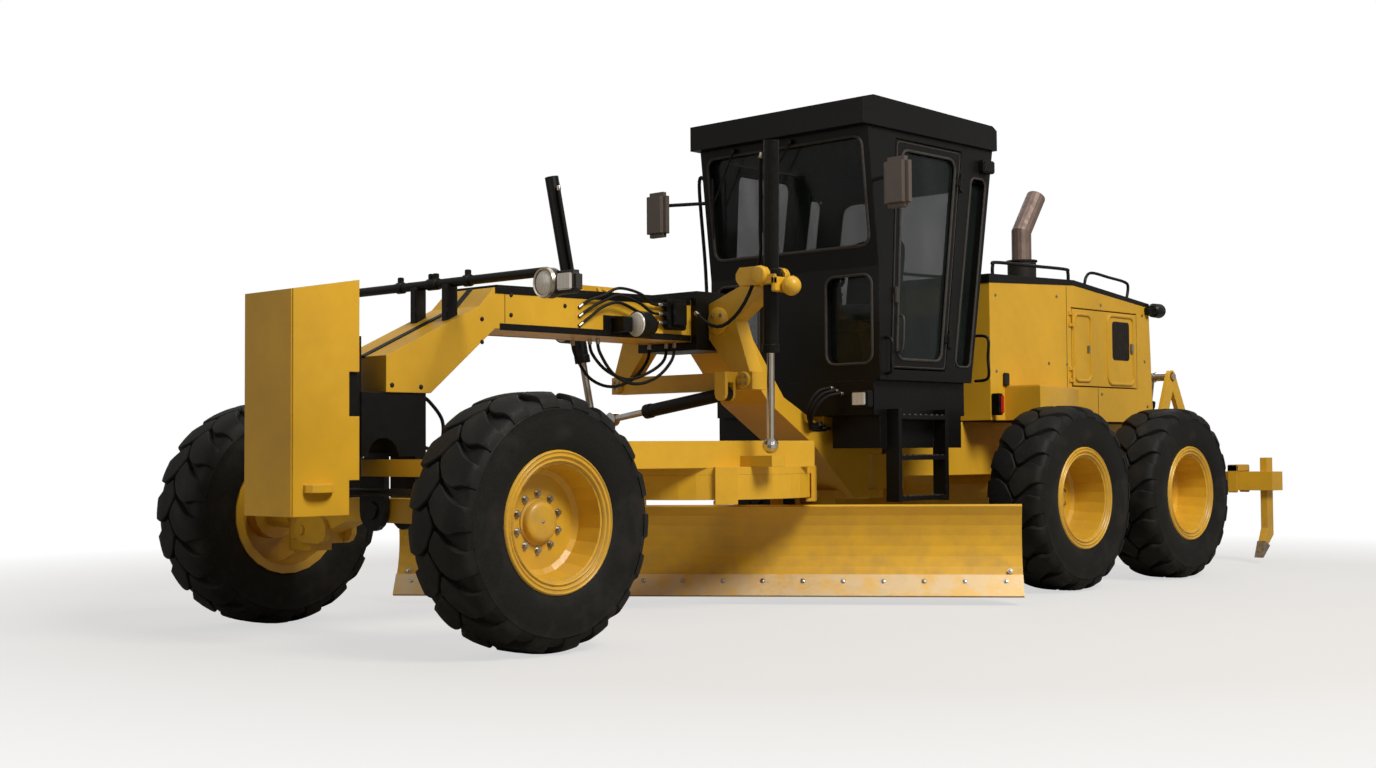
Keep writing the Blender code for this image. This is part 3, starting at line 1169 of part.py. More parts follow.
def make_blade():
    foot, along, back, points = blade_section()
    half = BLADE_LENGTH / 2
    front = [tuple(p) for p, _ in points]
    rear = [tuple(p + n * BLADE_THICKNESS) for p, n in reversed(points)]
    shapes = [prism("X", -half, half, front + rear)]
    for z, root in zip((RAIL_LOW_Z, RAIL_HIGH_Z), RAIL_ROOTS_Y):
        shapes.append(block((-half + RAIL_END, half - RAIL_END), (root, RAIL_Y),
                            (z - RAIL_HALF, z + RAIL_HALF)))
    add_node("moldboard", "moldboard", "yellow_paint", [at_blade(s) for s in shapes])
    edge = [foot, foot + along * EDGE_WIDTH, foot + along * EDGE_WIDTH + back * EDGE_THICKNESS,
            foot + back * EDGE_THICKNESS]
    add_node("cutting_edge", "moldboard", "yellow_paint",
             [at_blade(prism("X", -half, half, [tuple(p) for p in edge]))])

    inner = BLADE_ARM_X[1] + CARRIER_GAP
    outer = inner + CARRIER_PLATE
    face = RAIL_Y + RAIL_GAP
    hook_in = RAIL_Y - HOOK
    high = RAIL_HIGH_Z + RAIL_HALF + RAIL_GAP
    low = RAIL_LOW_Z - RAIL_HALF - RAIL_GAP
    plate = [(hook_in, high), (hook_in, high + HOOK), (face + HOOK * 2, high + HOOK),
             (TIP_PIN_Y + TIP_EYE_RADIUS, TIP_PIN_Z + TIP_EYE_RADIUS),
             (TIP_PIN_Y + TIP_EYE_RADIUS, TIP_PIN_Z - TIP_EYE_RADIUS / 2),
             (face + HOOK * 2, low - HOOK), (hook_in, low - HOOK), (hook_in, low), (face, low),
             (face, high)]
    shapes = [rod((-outer, TIP_PIN_Y, TIP_PIN_Z), (outer, TIP_PIN_Y, TIP_PIN_Z), TIP_PIN_RADIUS)]
    for side in (1, -1):
        x = sorted((side * inner, side * outer))
        shapes.append(prism("X", x[0], x[1], plate))
    shapes.append(rod((-outer + WELD_OVERLAP, CARRIER_TUBE[0], CARRIER_TUBE[1]),
                      (outer - WELD_OVERLAP, CARRIER_TUBE[0], CARRIER_TUBE[1]), CARRIER_TUBE_RADIUS))
    add_node("blade_carrier", "blade_carrier", "yellow_paint", [at_blade(s) for s in shapes])


# Cylinders
def cylinder_shapes(eye_point, base, radius, rod_radius, mouth_share, room, neck=0, neck_radius=0):
    """Barrel shapes, bore and rod; the mouth is a share of the way from the rod's eye to the base."""
    eye_point = Vector(eye_point)
    base = Vector(base)
    axis = (base - eye_point).normalized()
    mouth = eye_point.lerp(base, mouth_share)
    back = base - axis * neck
    bore_end = back - axis * BARREL_CAP
    barrel = [rod(mouth, back, radius), rod(mouth, mouth + axis * GLAND_LENGTH, radius * GLAND_SHARE)]
    if neck:
        barrel.append(rod(back - axis * WELD_OVERLAP, base, neck_radius))
    bore = rod(mouth - axis * CUT_OVERRUN, bore_end, rod_radius + BORE_GAP, BALL_FACETS)
    piston = rod(eye_point, bore_end - axis * room, rod_radius, BALL_FACETS)
    return barrel, bore, piston


def make_lift_cylinders():
    for name, side in SIDES:
        barrel, bore, _ = cylinder_shapes(LIFT_BALL_POINT, LIFT_TOP_POINT, LIFT_BARREL_RADIUS,
                                               LIFT_ROD_RADIUS, LIFT_BARREL_END_SHARE, LIFT_ROD_ROOM)
        collar = eye(LIFT_TRUNNION, LIFT_AXIS, COLLAR_RADIUS, COLLAR_HALF * 2)
        stub = eye(LIFT_TRUNNION, (0, 1, 0), TRUNNION_RADIUS, TRUNNION_REACH * 2)
        shoulder = eye(LIFT_TRUNNION, (0, 1, 0), TRUNNION_SHOULDER, (LIFT_FORK_HALF - SEAT_GAP) * 2)
        piston = ball_rod(LIFT_BALL_POINT, LIFT_AXIS, LIFT_BALL_RADIUS, LIFT_ROD_RADIUS,
                          (LIFT_TOP_POINT - LIFT_BALL_POINT).length - BARREL_CAP - LIFT_ROD_ROOM)
        add_node("lift_barrel_" + name, "lift_barrel_" + name, "black_paint",
                 [on_side(side, s) for s in [*barrel, collar, stub, shoulder]], [on_side(side, bore)])
        add_node("lift_rod_" + name, "lift_rod_" + name, "chrome",
                 [on_side(side, piston)])


def make_shift_cylinder():
    barrel, bore, piston = cylinder_shapes(SHIFT_EYE, SHIFT_FOOT, SHIFT_BARREL_RADIUS, SHIFT_ROD_RADIUS,
                                           SHIFT_END_SHARE, SHIFT_ROOM, SHIFT_NECK, SHIFT_NECK_RADIUS)
    foot = eye(SHIFT_FOOT, (0, 1, 0), SHIFT_EYE_RADIUS, SHIFT_EYE_WIDTH)
    hole = eye(SHIFT_FOOT, (0, 1, 0), SHIFT_PIN_RADIUS + PIN_GAP, SHIFT_EYE_WIDTH * 2)
    add_node("shift_barrel", "shift_barrel", "black_paint", [*barrel, foot], [bore, hole])
    head = eye(SHIFT_EYE, (0, 1, 0), SHIFT_EYE_RADIUS - SEAT_GAP, SHIFT_EYE_WIDTH)
    add_node("shift_rod", "shift_rod", "chrome", [piston, head])


def make_saddle():
    outer = FRAME_HALF + SADDLE_WALL
    shapes = [block((-outer, outer), SADDLE_Y,
                    (NECK_BOTTOM_Z - SADDLE_WALL, NECK_REAR_TOP_Z + SADDLE_WALL)),
              rod((-outer - SADDLE_PIN_REACH, SADDLE_PIN_Y, SADDLE_PIN_Z),
                  (outer + SADDLE_PIN_REACH, SADDLE_PIN_Y, SADDLE_PIN_Z), SADDLE_PIN_RADIUS)]
    hollow = prism("X", -FRAME_HALF - SEAT_GAP, FRAME_HALF + SEAT_GAP,
                   [(SADDLE_Y[0] - CUT_OVERRUN, NECK_BOTTOM_Z - SEAT_GAP),
                    (SADDLE_Y[1] + CUT_OVERRUN, NECK_BOTTOM_Z - SEAT_GAP),
                    (SADDLE_Y[1] + CUT_OVERRUN, NECK_REAR_TOP_Z + SEAT_GAP),
                    (SADDLE_Y[0] - CUT_OVERRUN, NECK_REAR_TOP_Z + SEAT_GAP)])
    add_node("saddle", "root", "black_paint", shapes, [hollow])

    tx, ty, tz = LIFT_TRUNNION
    fork_in = LIFT_FORK_HALF
    fork_out = LIFT_FORK_HALF + LIFT_FORK_PLATE
    arm_y = (SADDLE_PIN_Y - ARM_HALF_DEPTH, SADDLE_PIN_Y + ARM_HALF_DEPTH)
    hub_x = outer + SEAT_GAP
    shapes = []
    cuts = []
    for side in (1, -1):
        arm = prism("Y", arm_y[0], arm_y[1],
                    [(hub_x, SADDLE_PIN_Z + ARM_HUB), (hub_x, SADDLE_PIN_Z - ARM_HUB),
                     (LINK_PIN_X - ARM_FOOT, LINK_BAR_Z), (LINK_PIN_X + ARM_FOOT, LINK_BAR_Z),
                     (hub_x + ARM_HUB * 2, SADDLE_PIN_Z), (tx - FORK_ROOT, tz - FORK_HALF_HEIGHT),
                     (tx - FORK_ROOT, tz + FORK_HALF_HEIGHT)])
        yoke = block((tx - FORK_ROOT - FORK_WEB, tx - FORK_ROOT), (min(ty - fork_out, arm_y[0]),
                     max(ty + fork_out, arm_y[1])), (tz - FORK_HALF_HEIGHT, tz + FORK_HALF_HEIGHT))
        parts = [arm, yoke]
        for sign in (1, -1):
            y = sorted((ty + sign * fork_in, ty + sign * fork_out))
            parts.append(round_end_bar("Y", y[0], y[1], (tx - FORK_ROOT - FORK_WEB / 2, tz), (tx, tz),
                                       FORK_HALF_HEIGHT))
        shapes += [on_side(side, s) for s in parts]
        cuts.append(on_side(side, rod((tx, ty - fork_out - CUT_OVERRUN, tz),
                                      (tx, ty + fork_out + CUT_OVERRUN, tz),
                                      TRUNNION_RADIUS + PIN_GAP)))
        cuts.append(on_side(side, rod((hub_x - CUT_OVERRUN, SADDLE_PIN_Y, SADDLE_PIN_Z),
                                      (outer + SADDLE_PIN_REACH + SEAT_GAP, SADDLE_PIN_Y, SADDLE_PIN_Z),
                                      SADDLE_PIN_RADIUS + SEAT_GAP * 2)))
    bar = block((-LINK_PIN_X - ARM_FOOT, LINK_PIN_X + ARM_FOOT), arm_y,
                (LINK_BAR_Z - LINK_BAR_HALF, LINK_BAR_Z + LINK_BAR_HALF))
    lug = [round_end_bar("Y", y0, y0 + SHIFT_LUG, (SHIFT_FOOT.x, LINK_BAR_Z), (SHIFT_FOOT.x, SHIFT_FOOT.z),
                         SHIFT_EYE_RADIUS)
           for y0 in (SHIFT_FOOT.y - SHIFT_EYE_WIDTH / 2 - LUG_GAP - SHIFT_LUG,
                      SHIFT_FOOT.y + SHIFT_EYE_WIDTH / 2 + LUG_GAP)]
    pin = rod((SHIFT_FOOT.x, lug_y(0), SHIFT_FOOT.z), (SHIFT_FOOT.x, lug_y(1), SHIFT_FOOT.z),
              SHIFT_PIN_RADIUS)
    bridge = block((SHIFT_FOOT.x - SHIFT_EYE_RADIUS, SHIFT_FOOT.x + SHIFT_EYE_RADIUS),
                   (lug_y(0), arm_y[0] + WELD_OVERLAP), (LINK_BAR_Z - LINK_BAR_HALF * BRIDGE_SHARE,
                                                        LINK_BAR_Z + LINK_BAR_HALF))
    add_node("lift_arms", "root", "yellow_paint", shapes + [bar, bridge, *lug, pin], cuts)


def lug_y(end):
    reach = SHIFT_EYE_WIDTH / 2 + LUG_GAP + SHIFT_LUG
    return SHIFT_FOOT.y + (reach if end else -reach)


# Cab
def cab_front(z):
    """Y of the cab's front face at height z."""
    if z <= CAB_FRONT_KNEE_Z:
        return CAB_FRONT_Y
    share = (z - CAB_FRONT_KNEE_Z) / (CAB_TOP_Z - CAB_FRONT_KNEE_Z)
    return CAB_FRONT_Y + (CAB_FRONT_TOP_Y - CAB_FRONT_Y) * share


def cab_rear(z):
    share = (z - CAB_FLOOR_Z) / (CAB_TOP_Z - CAB_FLOOR_Z)
    return CAB_REAR_LOW_Y + (CAB_REAR_HIGH_Y - CAB_REAR_LOW_Y) * share


def inset(outline, distance):
    """The convex outline moved inwards by distance, or outwards if it is negative."""
    points = [Vector(p) for p in outline]
    area = sum(a.x * b.y - b.x * a.y for a, b in zip(points, points[1:] + points[:1]))
    turn = 1 if area > 0 else -1
    moved = []
    count = len(points)
    for i in range(count):
        before = (points[i] - points[i - 1]).normalized()
        after = (points[(i + 1) % count] - points[i]).normalized()
        n1 = Vector((-before.y, before.x)) * turn
        n2 = Vector((-after.y, after.x)) * turn
        moved.append(tuple(points[i] + (n1 + n2) * distance / (1 + n1.dot(n2))))
    return moved


def hinge(foot, head, side, leaf):
    """Knuckles on a door's outer face: (door's shapes, frame's shapes); leaf is the door's way."""
    foot = Vector((side * foot[0], foot[1], foot[2]))
    head = Vector((side * head[0], head[1], head[2]))
    along = (head - foot).normalized()
    x = sorted((foot.x - side * HINGE_OUT, foot.x - side * (HINGE_OUT - HINGE_LEAF)))
    x = (x[0] - (HINGE_SINK if side > 0 else 0), x[1] + (HINGE_SINK if side < 0 else 0))
    door = []
    frame = []

    def knuckle(group, low, high, way):
        ends = [foot.lerp(head, share) + along * low, foot.lerp(head, share) + along * high]
        group.append(rod(ends[0], ends[1], HINGE_RADIUS, SMALL_FACETS))
        near = [(end.y, end.z) for end in (ends[0] + along * HINGE_STEP, ends[1] - along * HINGE_STEP)]
        far = [(y + way * HINGE_REACH * along.z, z - way * HINGE_REACH * along.y) for y, z in near]
        group.append(prism("X", x[0], x[1], near + far[::-1]))

    for share in HINGE_SHARES:
        knuckle(door, -HINGE_LENGTH, HINGE_LENGTH, leaf)
        knuckle(frame, HINGE_LENGTH + SEAT_GAP, HINGE_LENGTH * 2, -leaf)
        knuckle(frame, -HINGE_LENGTH * 2, -HINGE_LENGTH - SEAT_GAP, -leaf)
    return door, frame


def make_cab():
    side_outline = [(cab_front(CAB_FLOOR_Z), CAB_FLOOR_Z), (CAB_FRONT_Y, CAB_FRONT_KNEE_Z),
                    (CAB_FRONT_TOP_Y, CAB_TOP_Z), (CAB_REAR_HIGH_Y, CAB_TOP_Z),
                    (CAB_REAR_LOW_Y, CAB_FLOOR_Z)]
    inner = inset(side_outline, CAB_WALL)
    shell = [prism("X", -CAB_HALF, CAB_HALF, side_outline)]
    cuts = [prism("X", -CAB_HALF + CAB_WALL, CAB_HALF - CAB_WALL, inner)]
    door = [DOOR_FRONT, DOOR_TOP_FRONT, DOOR_TOP_REAR, DOOR_REAR]
    opening = inset(door, -DOOR_GAP)
    quarter = [(cab_rear(QUARTER_Z[0]) - QUARTER_POST - QUARTER_WIDTH, QUARTER_Z[0]),
               (cab_rear(QUARTER_Z[1]) - QUARTER_POST - QUARTER_WIDTH, QUARTER_Z[1]),
               (cab_rear(QUARTER_Z[1]) - QUARTER_POST, QUARTER_Z[1]),
               (cab_rear(QUARTER_Z[0]) - QUARTER_POST, QUARTER_Z[0])]
    for side in (1, -1):
        x = sorted((side * (CAB_HALF - CAB_WALL - CUT_OVERRUN), side * (CAB_HALF + CUT_OVERRUN)))
        cuts.append(prism("X", x[0], x[1], opening))
        cuts.append(prism("X", x[0], x[1], quarter))
    reach = (CAB_FRONT_TOP_Y - CUT_OVERRUN * 2, CAB_FRONT_Y + CAB_WALL + CUT_OVERRUN * 3)
    for x, z in ((WINDSCREEN_X, WINDSCREEN_Z), (LOWER_GLASS_X, LOWER_GLASS_Z),
                 ((-LOWER_GLASS_X[1], -LOWER_GLASS_X[0]), LOWER_GLASS_Z)):
        cuts.append(prism("Y", reach[0], reach[1], window_outline(x, z)))
    cuts.append(prism("Y", CAB_REAR_LOW_Y - CAB_WALL - CUT_OVERRUN, CAB_REAR_HIGH_Y + CUT_OVERRUN,
                      window_outline(REAR_GLASS_X, REAR_GLASS_Z)))
    for side in (1, -1):
        arm = pipe([(side * (CAB_HALF - CAB_WALL / 2), cab_front(MIRROR_Z) + CAB_WALL / 2, MIRROR_Z),
                    (side * MIRROR_X, MIRROR_Y, MIRROR_Z)], MIRROR_ARM_RADIUS)
        head = block(sorted((side * (MIRROR_X - MIRROR_HALF), side * (MIRROR_X + MIRROR_HALF))),
                     (MIRROR_Y - MIRROR_DEPTH, MIRROR_Y + MIRROR_DEPTH / 4),
                     (MIRROR_Z - MIRROR_DROP, MIRROR_Z + MIRROR_RISE))
        bmesh.ops.bevel(head, geom=head.edges[:], offset=MIRROR_ROUND, segments=2, affect="EDGES")
        shell += [arm, head]
    hinges = [s for _, side in SIDES for s in hinge(*CAB_HINGE, side, -1)[1]]
    add_node("cab_shell", "root", "black_paint", shell, cuts, trims=hinges)

    front_line = inset(side_outline, CAB_WALL + SEAT_GAP)[:3]
    back_line = inset(side_outline, CAB_WALL + SEAT_GAP + GLASS)[:3]
    sheet_x = CAB_HALF - CAB_WALL - SEAT_GAP
    add_node("front_glass", "root", "glass", [prism("X", -sheet_x, sheet_x, front_line + back_line[::-1])])
    sections = []
    for z in (QUARTER_Z[0] - GLASS_LAP, QUARTER_Z[1] + GLASS_LAP):
        rear = cab_rear(z) - CAB_WALL * REAR_SLANT - SEAT_GAP * 2
        front = rear - QUARTER_WIDTH - GLASS_LAP
        sections.append([(x, y, z) for x, y in (
            (sheet_x, front), (sheet_x, rear), (-sheet_x, rear), (-sheet_x, front),
            (-sheet_x + GLASS, front), (-sheet_x + GLASS, rear - GLASS),
            (sheet_x - GLASS, rear - GLASS), (sheet_x - GLASS, front))])
    add_node("rear_glass", "root", "glass", [loft(sections)])
    for name, side in SIDES:
        make_cab_door(name, side, door)

    roof = [(ROOF_FRONT_Y, ROOF_LOW_Z), (ROOF_FRONT_Y, ROOF_TOP_Z - ROOF_CHAMFER / 2),
            (ROOF_FRONT_Y + ROOF_CHAMFER * 2, ROOF_TOP_Z),
            (ROOF_REAR_Y - ROOF_CHAMFER, ROOF_TOP_Z - ROOF_CHAMFER / 2),
            (ROOF_REAR_Y, ROOF_TOP_Z - ROOF_CHAMFER), (ROOF_REAR_Y, ROOF_LOW_Z)]
    add_node("cab_roof", "root", "black_paint", [prism("X", -ROOF_HALF, ROOF_HALF, roof)])


def rounded(outline, radius):
    """The convex outline with arcs at its corners."""
    points = [Vector(p) for p in outline]
    count = len(points)
    curve = []
    for i in range(count):
        before = (points[i - 1] - points[i]).normalized()
        after = (points[(i + 1) % count] - points[i]).normalized()
        half_turn = before.angle(after) / 2
        centre = points[i] + (before + after).normalized() * radius / math.sin(half_turn)
        first = points[i] + before * radius / math.tan(half_turn) - centre
        last = points[i] + after * radius / math.tan(half_turn) - centre
        for step in range(CORNER_STEPS + 1):
            arm = first.slerp(last, step / CORNER_STEPS)
            curve.append(tuple(centre + arm * radius))
    return curve


def window_outline(x, z):
    return rounded([(x[1], z[1]), (x[0], z[1]), (x[0], z[0]), (x[1], z[0])], WINDOW_CORNER)


def make_cab_door(name, side, door):
    pane = rounded(inset(door, DOOR_FRAME), WINDOW_CORNER)
    hinges = hinge(*CAB_HINGE, side, -1)[0]
    outer = CAB_HALF
    x = sorted((side * outer, side * (outer - DOOR_THICKNESS)))
    cut_x = (x[0] - CUT_OVERRUN, x[1] + CUT_OVERRUN)
    add_node("cab_door_" + name, "cab_door_" + name, "black_paint", [prism("X", x[0], x[1], door), *hinges],
             [prism("X", cut_x[0], cut_x[1], pane)])
    middle = side * (outer - DOOR_THICKNESS / 2)
    add_node("door_glass_" + name, "cab_door_" + name, "glass",
             [prism("X", middle - GLASS / 2, middle + GLASS / 2, inset(pane, SEAT_GAP))])


def make_cab_base():
    top = CAB_FLOOR_Z - SEAT_GAP
    shapes = [block((-CAB_BASE_HALF, CAB_BASE_HALF), (CAB_FRONT_Y, CAB_BASE_REAR_Y), (CAB_BASE_Z, top))]
    for side in (1, -1):
        x = sorted((side * SIDE_BOX_X[0], side * SIDE_BOX_X[1]))
        shapes.append(block(x, SIDE_BOX_Y, (SIDE_BOX_Z, CAB_BASE_Z + WELD_OVERLAP)))
        rail_x = sorted((side * (SIDE_BOX_X[1] - WELD_OVERLAP), side * LADDER_X))
        for y in LADDER_Y:
            shapes.append(block(rail_x, (y, y + LADDER_RAIL), (LADDER_BOTTOM_Z, LADDER_TOP_Z)))
        for z in LADDER_TREADS_Z:
            shapes.append(block(rail_x, (LADDER_Y[0] + WELD_OVERLAP, LADDER_Y[1] + WELD_OVERLAP),
                                (z, z + LADDER_TREAD)))
    add_node("cab_base", "root", "black_paint", shapes)


def make_cab_inside():
    floor = CAB_FLOOR_Z + CAB_WALL + SEAT_GAP
    base = block((-SEAT_BASE_HALF, SEAT_BASE_HALF), SEAT_BASE_Y, (floor, SEAT_Z + WELD_OVERLAP))
    cushion = [(SEAT_Y[0], SEAT_Z), (SEAT_Y[0], SEAT_Z + SEAT_THICKNESS * SEAT_NOSE_SHARE),
               (SEAT_BACK_Y, SEAT_Z + SEAT_THICKNESS), (SEAT_BACK_Y + SEAT_LEAN, SEAT_TOP_Z),
               (SEAT_BACK_Y + SEAT_LEAN + SEAT_THICKNESS, SEAT_TOP_Z), (SEAT_Y[1], SEAT_Z)]
    add_node("seat", "root", "seat_fabric", [base, prism("X", -SEAT_HALF, SEAT_HALF, cushion)])
    column = [(CONSOLE_Y[0], floor), (CONSOLE_Y[1], floor), (CONSOLE_Y[1] + CONSOLE_LEAN, CONSOLE_TOP_Z),
              (CONSOLE_Y[0] + CONSOLE_LEAN, CONSOLE_TOP_Z)]
    wheel = hoop((0, CONSOLE_Y[0] + CONSOLE_LEAN, CONSOLE_TOP_Z + STEER_RISE), (0, STEER_TILT, 1),
                 [(-STEER_RIM, STEER_RADIUS - STEER_RIM), (-STEER_RIM, STEER_RADIUS),
                  (STEER_RIM, STEER_RADIUS), (STEER_RIM, STEER_RADIUS - STEER_RIM)], ROUND_FACETS)
    spoke = block((-STEER_RADIUS + STEER_RIM / 2, STEER_RADIUS - STEER_RIM / 2),
                  (CONSOLE_Y[0] + CONSOLE_LEAN - STEER_RIM, CONSOLE_Y[0] + CONSOLE_LEAN + STEER_RIM),
                  (CONSOLE_TOP_Z - WELD_OVERLAP, CONSOLE_TOP_Z + STEER_RISE + STEER_RIM / 2))
    post = prism("X", -CONSOLE_HALF, CONSOLE_HALF, column)
    add_node("console", "root", "black_paint", [post, spoke, wheel])


# Rear frame, tandems, hood and exhaust
def make_rear_frame():
    lug_low = HITCH_BOTTOM_Z + HITCH_PLATE + HITCH_GAP
    lug_high = HITCH_TOP_Z - HITCH_PLATE - HITCH_GAP
    shapes = [round_end_bar("Z", lug_low, lug_high, (0, REAR_NECK_Y), (0, ARTICULATION_Y), HITCH_RADIUS,
                            ROUND_FACETS)]
    plan = [(-HITCH_RADIUS, REAR_NECK_Y), (HITCH_RADIUS, REAR_NECK_Y), (REAR_FRAME_HALF, REAR_WIDE_Y),
            (REAR_FRAME_HALF, REAR_FRAME_END_Y), (-REAR_FRAME_HALF, REAR_FRAME_END_Y),
            (-REAR_FRAME_HALF, REAR_WIDE_Y)]
    shapes.append(prism("Z", REAR_FRAME_BOTTOM_Z, REAR_FRAME_TOP_Z, plan))
    for side in (1, -1):
        x = sorted((side * RIPPER_LUG_X[0], side * RIPPER_LUG_X[1]))
        for point, radius in (((RIPPER_PIN_Y, RIPPER_PIN_Z), RIPPER_LUG_RADIUS),
                              (RIPPER_CYLINDER_FOOT, RIPPER_LUG_RADIUS)):
            shapes.append(round_end_bar("X", x[0], x[1], (REAR_FRAME_END_Y - RIPPER_LUG_RADIUS * 2,
                                        REAR_FRAME_BOTTOM_Z + RIPPER_LUG_RADIUS), point, radius))
    shapes.append(block((-RIPPER_LUG_X[1], RIPPER_LUG_X[1]), (REAR_FRAME_END_Y - RIPPER_LUG_RADIUS,
                        REAR_FRAME_END_Y + CUT_OVERRUN), (REAR_FRAME_BOTTOM_Z, REAR_FRAME_TOP_Z)))
    pin_reach = RIPPER_ARM_X + RIPPER_ARM_PLATE
    shapes.append(rod((-pin_reach, RIPPER_PIN_Y, RIPPER_PIN_Z), (pin_reach, RIPPER_PIN_Y, RIPPER_PIN_Z),
                      PIN_RADIUS))
    boss = RIPPER_ARM_X - RIPPER_ARM_PLATE / 2 - SEAT_GAP
    shapes.append(rod((-boss, RIPPER_PIN_Y, RIPPER_PIN_Z), (boss, RIPPER_PIN_Y, RIPPER_PIN_Z),
                      RIPPER_BOSS_RADIUS))
    bore = rod((0, ARTICULATION_Y, lug_low - CUT_OVERRUN), (0, ARTICULATION_Y, lug_high + CUT_OVERRUN),
               HITCH_PIN_RADIUS + PIN_GAP)
    shaft = rod((-RIPPER_LUG_X[1] - CUT_OVERRUN, *RIPPER_CYLINDER_FOOT),
                (RIPPER_LUG_X[1] + CUT_OVERRUN, *RIPPER_CYLINDER_FOOT), RIPPER_SHAFT_RADIUS + PIN_GAP)
    axle = rod((-REAR_FRAME_HALF * 2, TANDEM_MIDDLE_Y, AXLE_HOUSING_Z),
               (REAR_FRAME_HALF * 2, TANDEM_MIDDLE_Y, AXLE_HOUSING_Z), AXLE_HOUSING_RADIUS + SEAT_GAP,
               FINE_FACETS)
    add_node("rear_frame", "rear_frame", "yellow_paint", shapes, [bore, shaft, axle])


def make_tandem_drive():
    inner = TANDEM_X - TANDEM_HALF
    outer = TANDEM_X + TANDEM_HALF
    hub_end = TRACK_HALF + REAR_DISC_X - DISC_THICKNESS - SEAT_GAP
    shapes = [rod((-inner - WELD_OVERLAP, TANDEM_MIDDLE_Y, AXLE_HOUSING_Z),
                  (inner + WELD_OVERLAP, TANDEM_MIDDLE_Y, AXLE_HOUSING_Z), AXLE_HOUSING_RADIUS, FINE_FACETS)]
    for side in (1, -1):
        x = sorted((side * inner, side * outer))
        shapes.append(round_end_bar("X", x[0], x[1], (TANDEM_FRONT_Y, TYRE_RADIUS),
                                    (TANDEM_FRONT_Y + TANDEM_SPACING, TYRE_RADIUS), TANDEM_HEIGHT / 2,
                                    ROUND_FACETS))
        for row, y in WHEEL_ROWS[1:]:
            shapes.append(rod((side * (outer - WELD_OVERLAP), y, TYRE_RADIUS),
                              (side * hub_end, y, TYRE_RADIUS), REAR_HUB_RADIUS, HUB_FACETS))
    add_node("tandem_drive", "rear_frame", "yellow_paint", shapes)


def make_hood():
    outline = [(HOOD_FRONT_Y, HOOD_BOTTOM_Z), (HOOD_FRONT_Y, HOOD_FRONT_TOP_Z), (HOOD_KINK_Y, HOOD_KINK_Z),
               (HOOD_REAR_Y, HOOD_REAR_TOP_Z), (HOOD_REAR_END_Y, HOOD_REAR_BOTTOM_Z + HOOD_REAR_LIP),
               (HOOD_REAR_Y, HOOD_BOTTOM_Z)]
    inner = inset(outline, HOOD_WALL)
    inner[0] = (inner[0][0], HOOD_BOTTOM_Z - CUT_OVERRUN)
    inner[-1] = (inner[-1][0], HOOD_BOTTOM_Z - CUT_OVERRUN)
    hollow = HOOD_HALF - HOOD_WALL
    cuts = [prism("X", -hollow, hollow, inner)]
    opening = block((-HOOD_HALF - CUT_OVERRUN, HOOD_HALF + CUT_OVERRUN),
                    (HOOD_DOOR_Y[0] - DOOR_GAP, HOOD_DOOR_Y[1] + DOOR_GAP),
                    (HOOD_DOOR_Z[0] - DOOR_GAP, HOOD_DOOR_Z[1] + DOOR_GAP))
    hinges = [s for _, side in SIDES for s in hinge(*HOOD_HINGE, side, 1)[1]]
    add_node("engine_hood", "rear_frame", "yellow_paint", [prism("X", -HOOD_HALF, HOOD_HALF, outline)],
             [*cuts, opening], trims=hinges)
    for name, side in SIDES:
        x = sorted((side * HOOD_HALF, side * (HOOD_HALF - HOOD_DOOR_PANEL)))
        add_node("hood_door_" + name, "hood_door_" + name, "yellow_paint",
                 [block(x, HOOD_DOOR_Y, HOOD_DOOR_Z), *hinge(*HOOD_HINGE, side, 1)[0]])
    add_node("engine_block", "rear_frame", "black_paint",
             [block((-ENGINE_HALF, ENGINE_HALF), ENGINE_Y, (REAR_FRAME_TOP_Z + SEAT_GAP, ENGINE_TOP_Z))])
    floor = REAR_FRAME_TOP_Z + SEAT_GAP
    deck = block((-HOOD_HALF, HOOD_HALF), (HOOD_FRONT_Y, HOOD_FRONT_Y + HOOD_WALL),
                 (floor, HOOD_BOTTOM_Z - SEAT_GAP))
    tail = block((-HOOD_HALF, HOOD_HALF), (HOOD_REAR_Y - HOOD_WALL, HOOD_REAR_Y),
                 (floor, HOOD_BOTTOM_Z - SEAT_GAP))
    rails = [block((x - HOOD_WALL / 2, x + HOOD_WALL / 2), (HOOD_FRONT_Y, HOOD_REAR_Y),
                   (floor, HOOD_BOTTOM_Z - SEAT_GAP)) for x in (-HOOD_RAIL_X, HOOD_RAIL_X)]
    add_node("hood_mounts", "rear_frame", "black_paint", [deck, tail, *rails])
    base = HOOD_FRONT_TOP_Z - CUT_OVERRUN
    roof = prism("X", -HOOD_HALF, HOOD_HALF, inset(outline, -SEAT_GAP))
    flange = rod((EXHAUST_X, EXHAUST_Y, base), (EXHAUST_X, EXHAUST_Y, HOOD_KINK_Z + EXHAUST_BASE),
                 EXHAUST_RADIUS * EXHAUST_BASE_SHARE)
    route = [(EXHAUST_X, EXHAUST_Y, base), (EXHAUST_X, EXHAUST_Y, EXHAUST_BEND_Z),
             (EXHAUST_X, EXHAUST_Y + EXHAUST_TIP_Y, EXHAUST_TIP_Z)]
    bore_route = [(EXHAUST_X, EXHAUST_Y, HOOD_KINK_Z + EXHAUST_BASE), route[1],
                  tuple(Vector(route[2]) + (Vector(route[2]) - Vector(route[1])) * EXHAUST_BORE_SHARE)]
    add_node("exhaust", "rear_frame", "exhaust", [flange, pipe(route, EXHAUST_RADIUS, ROUND_FACETS)],
             [pipe(bore_route, EXHAUST_RADIUS - EXHAUST_WALL, ROUND_FACETS), roof])


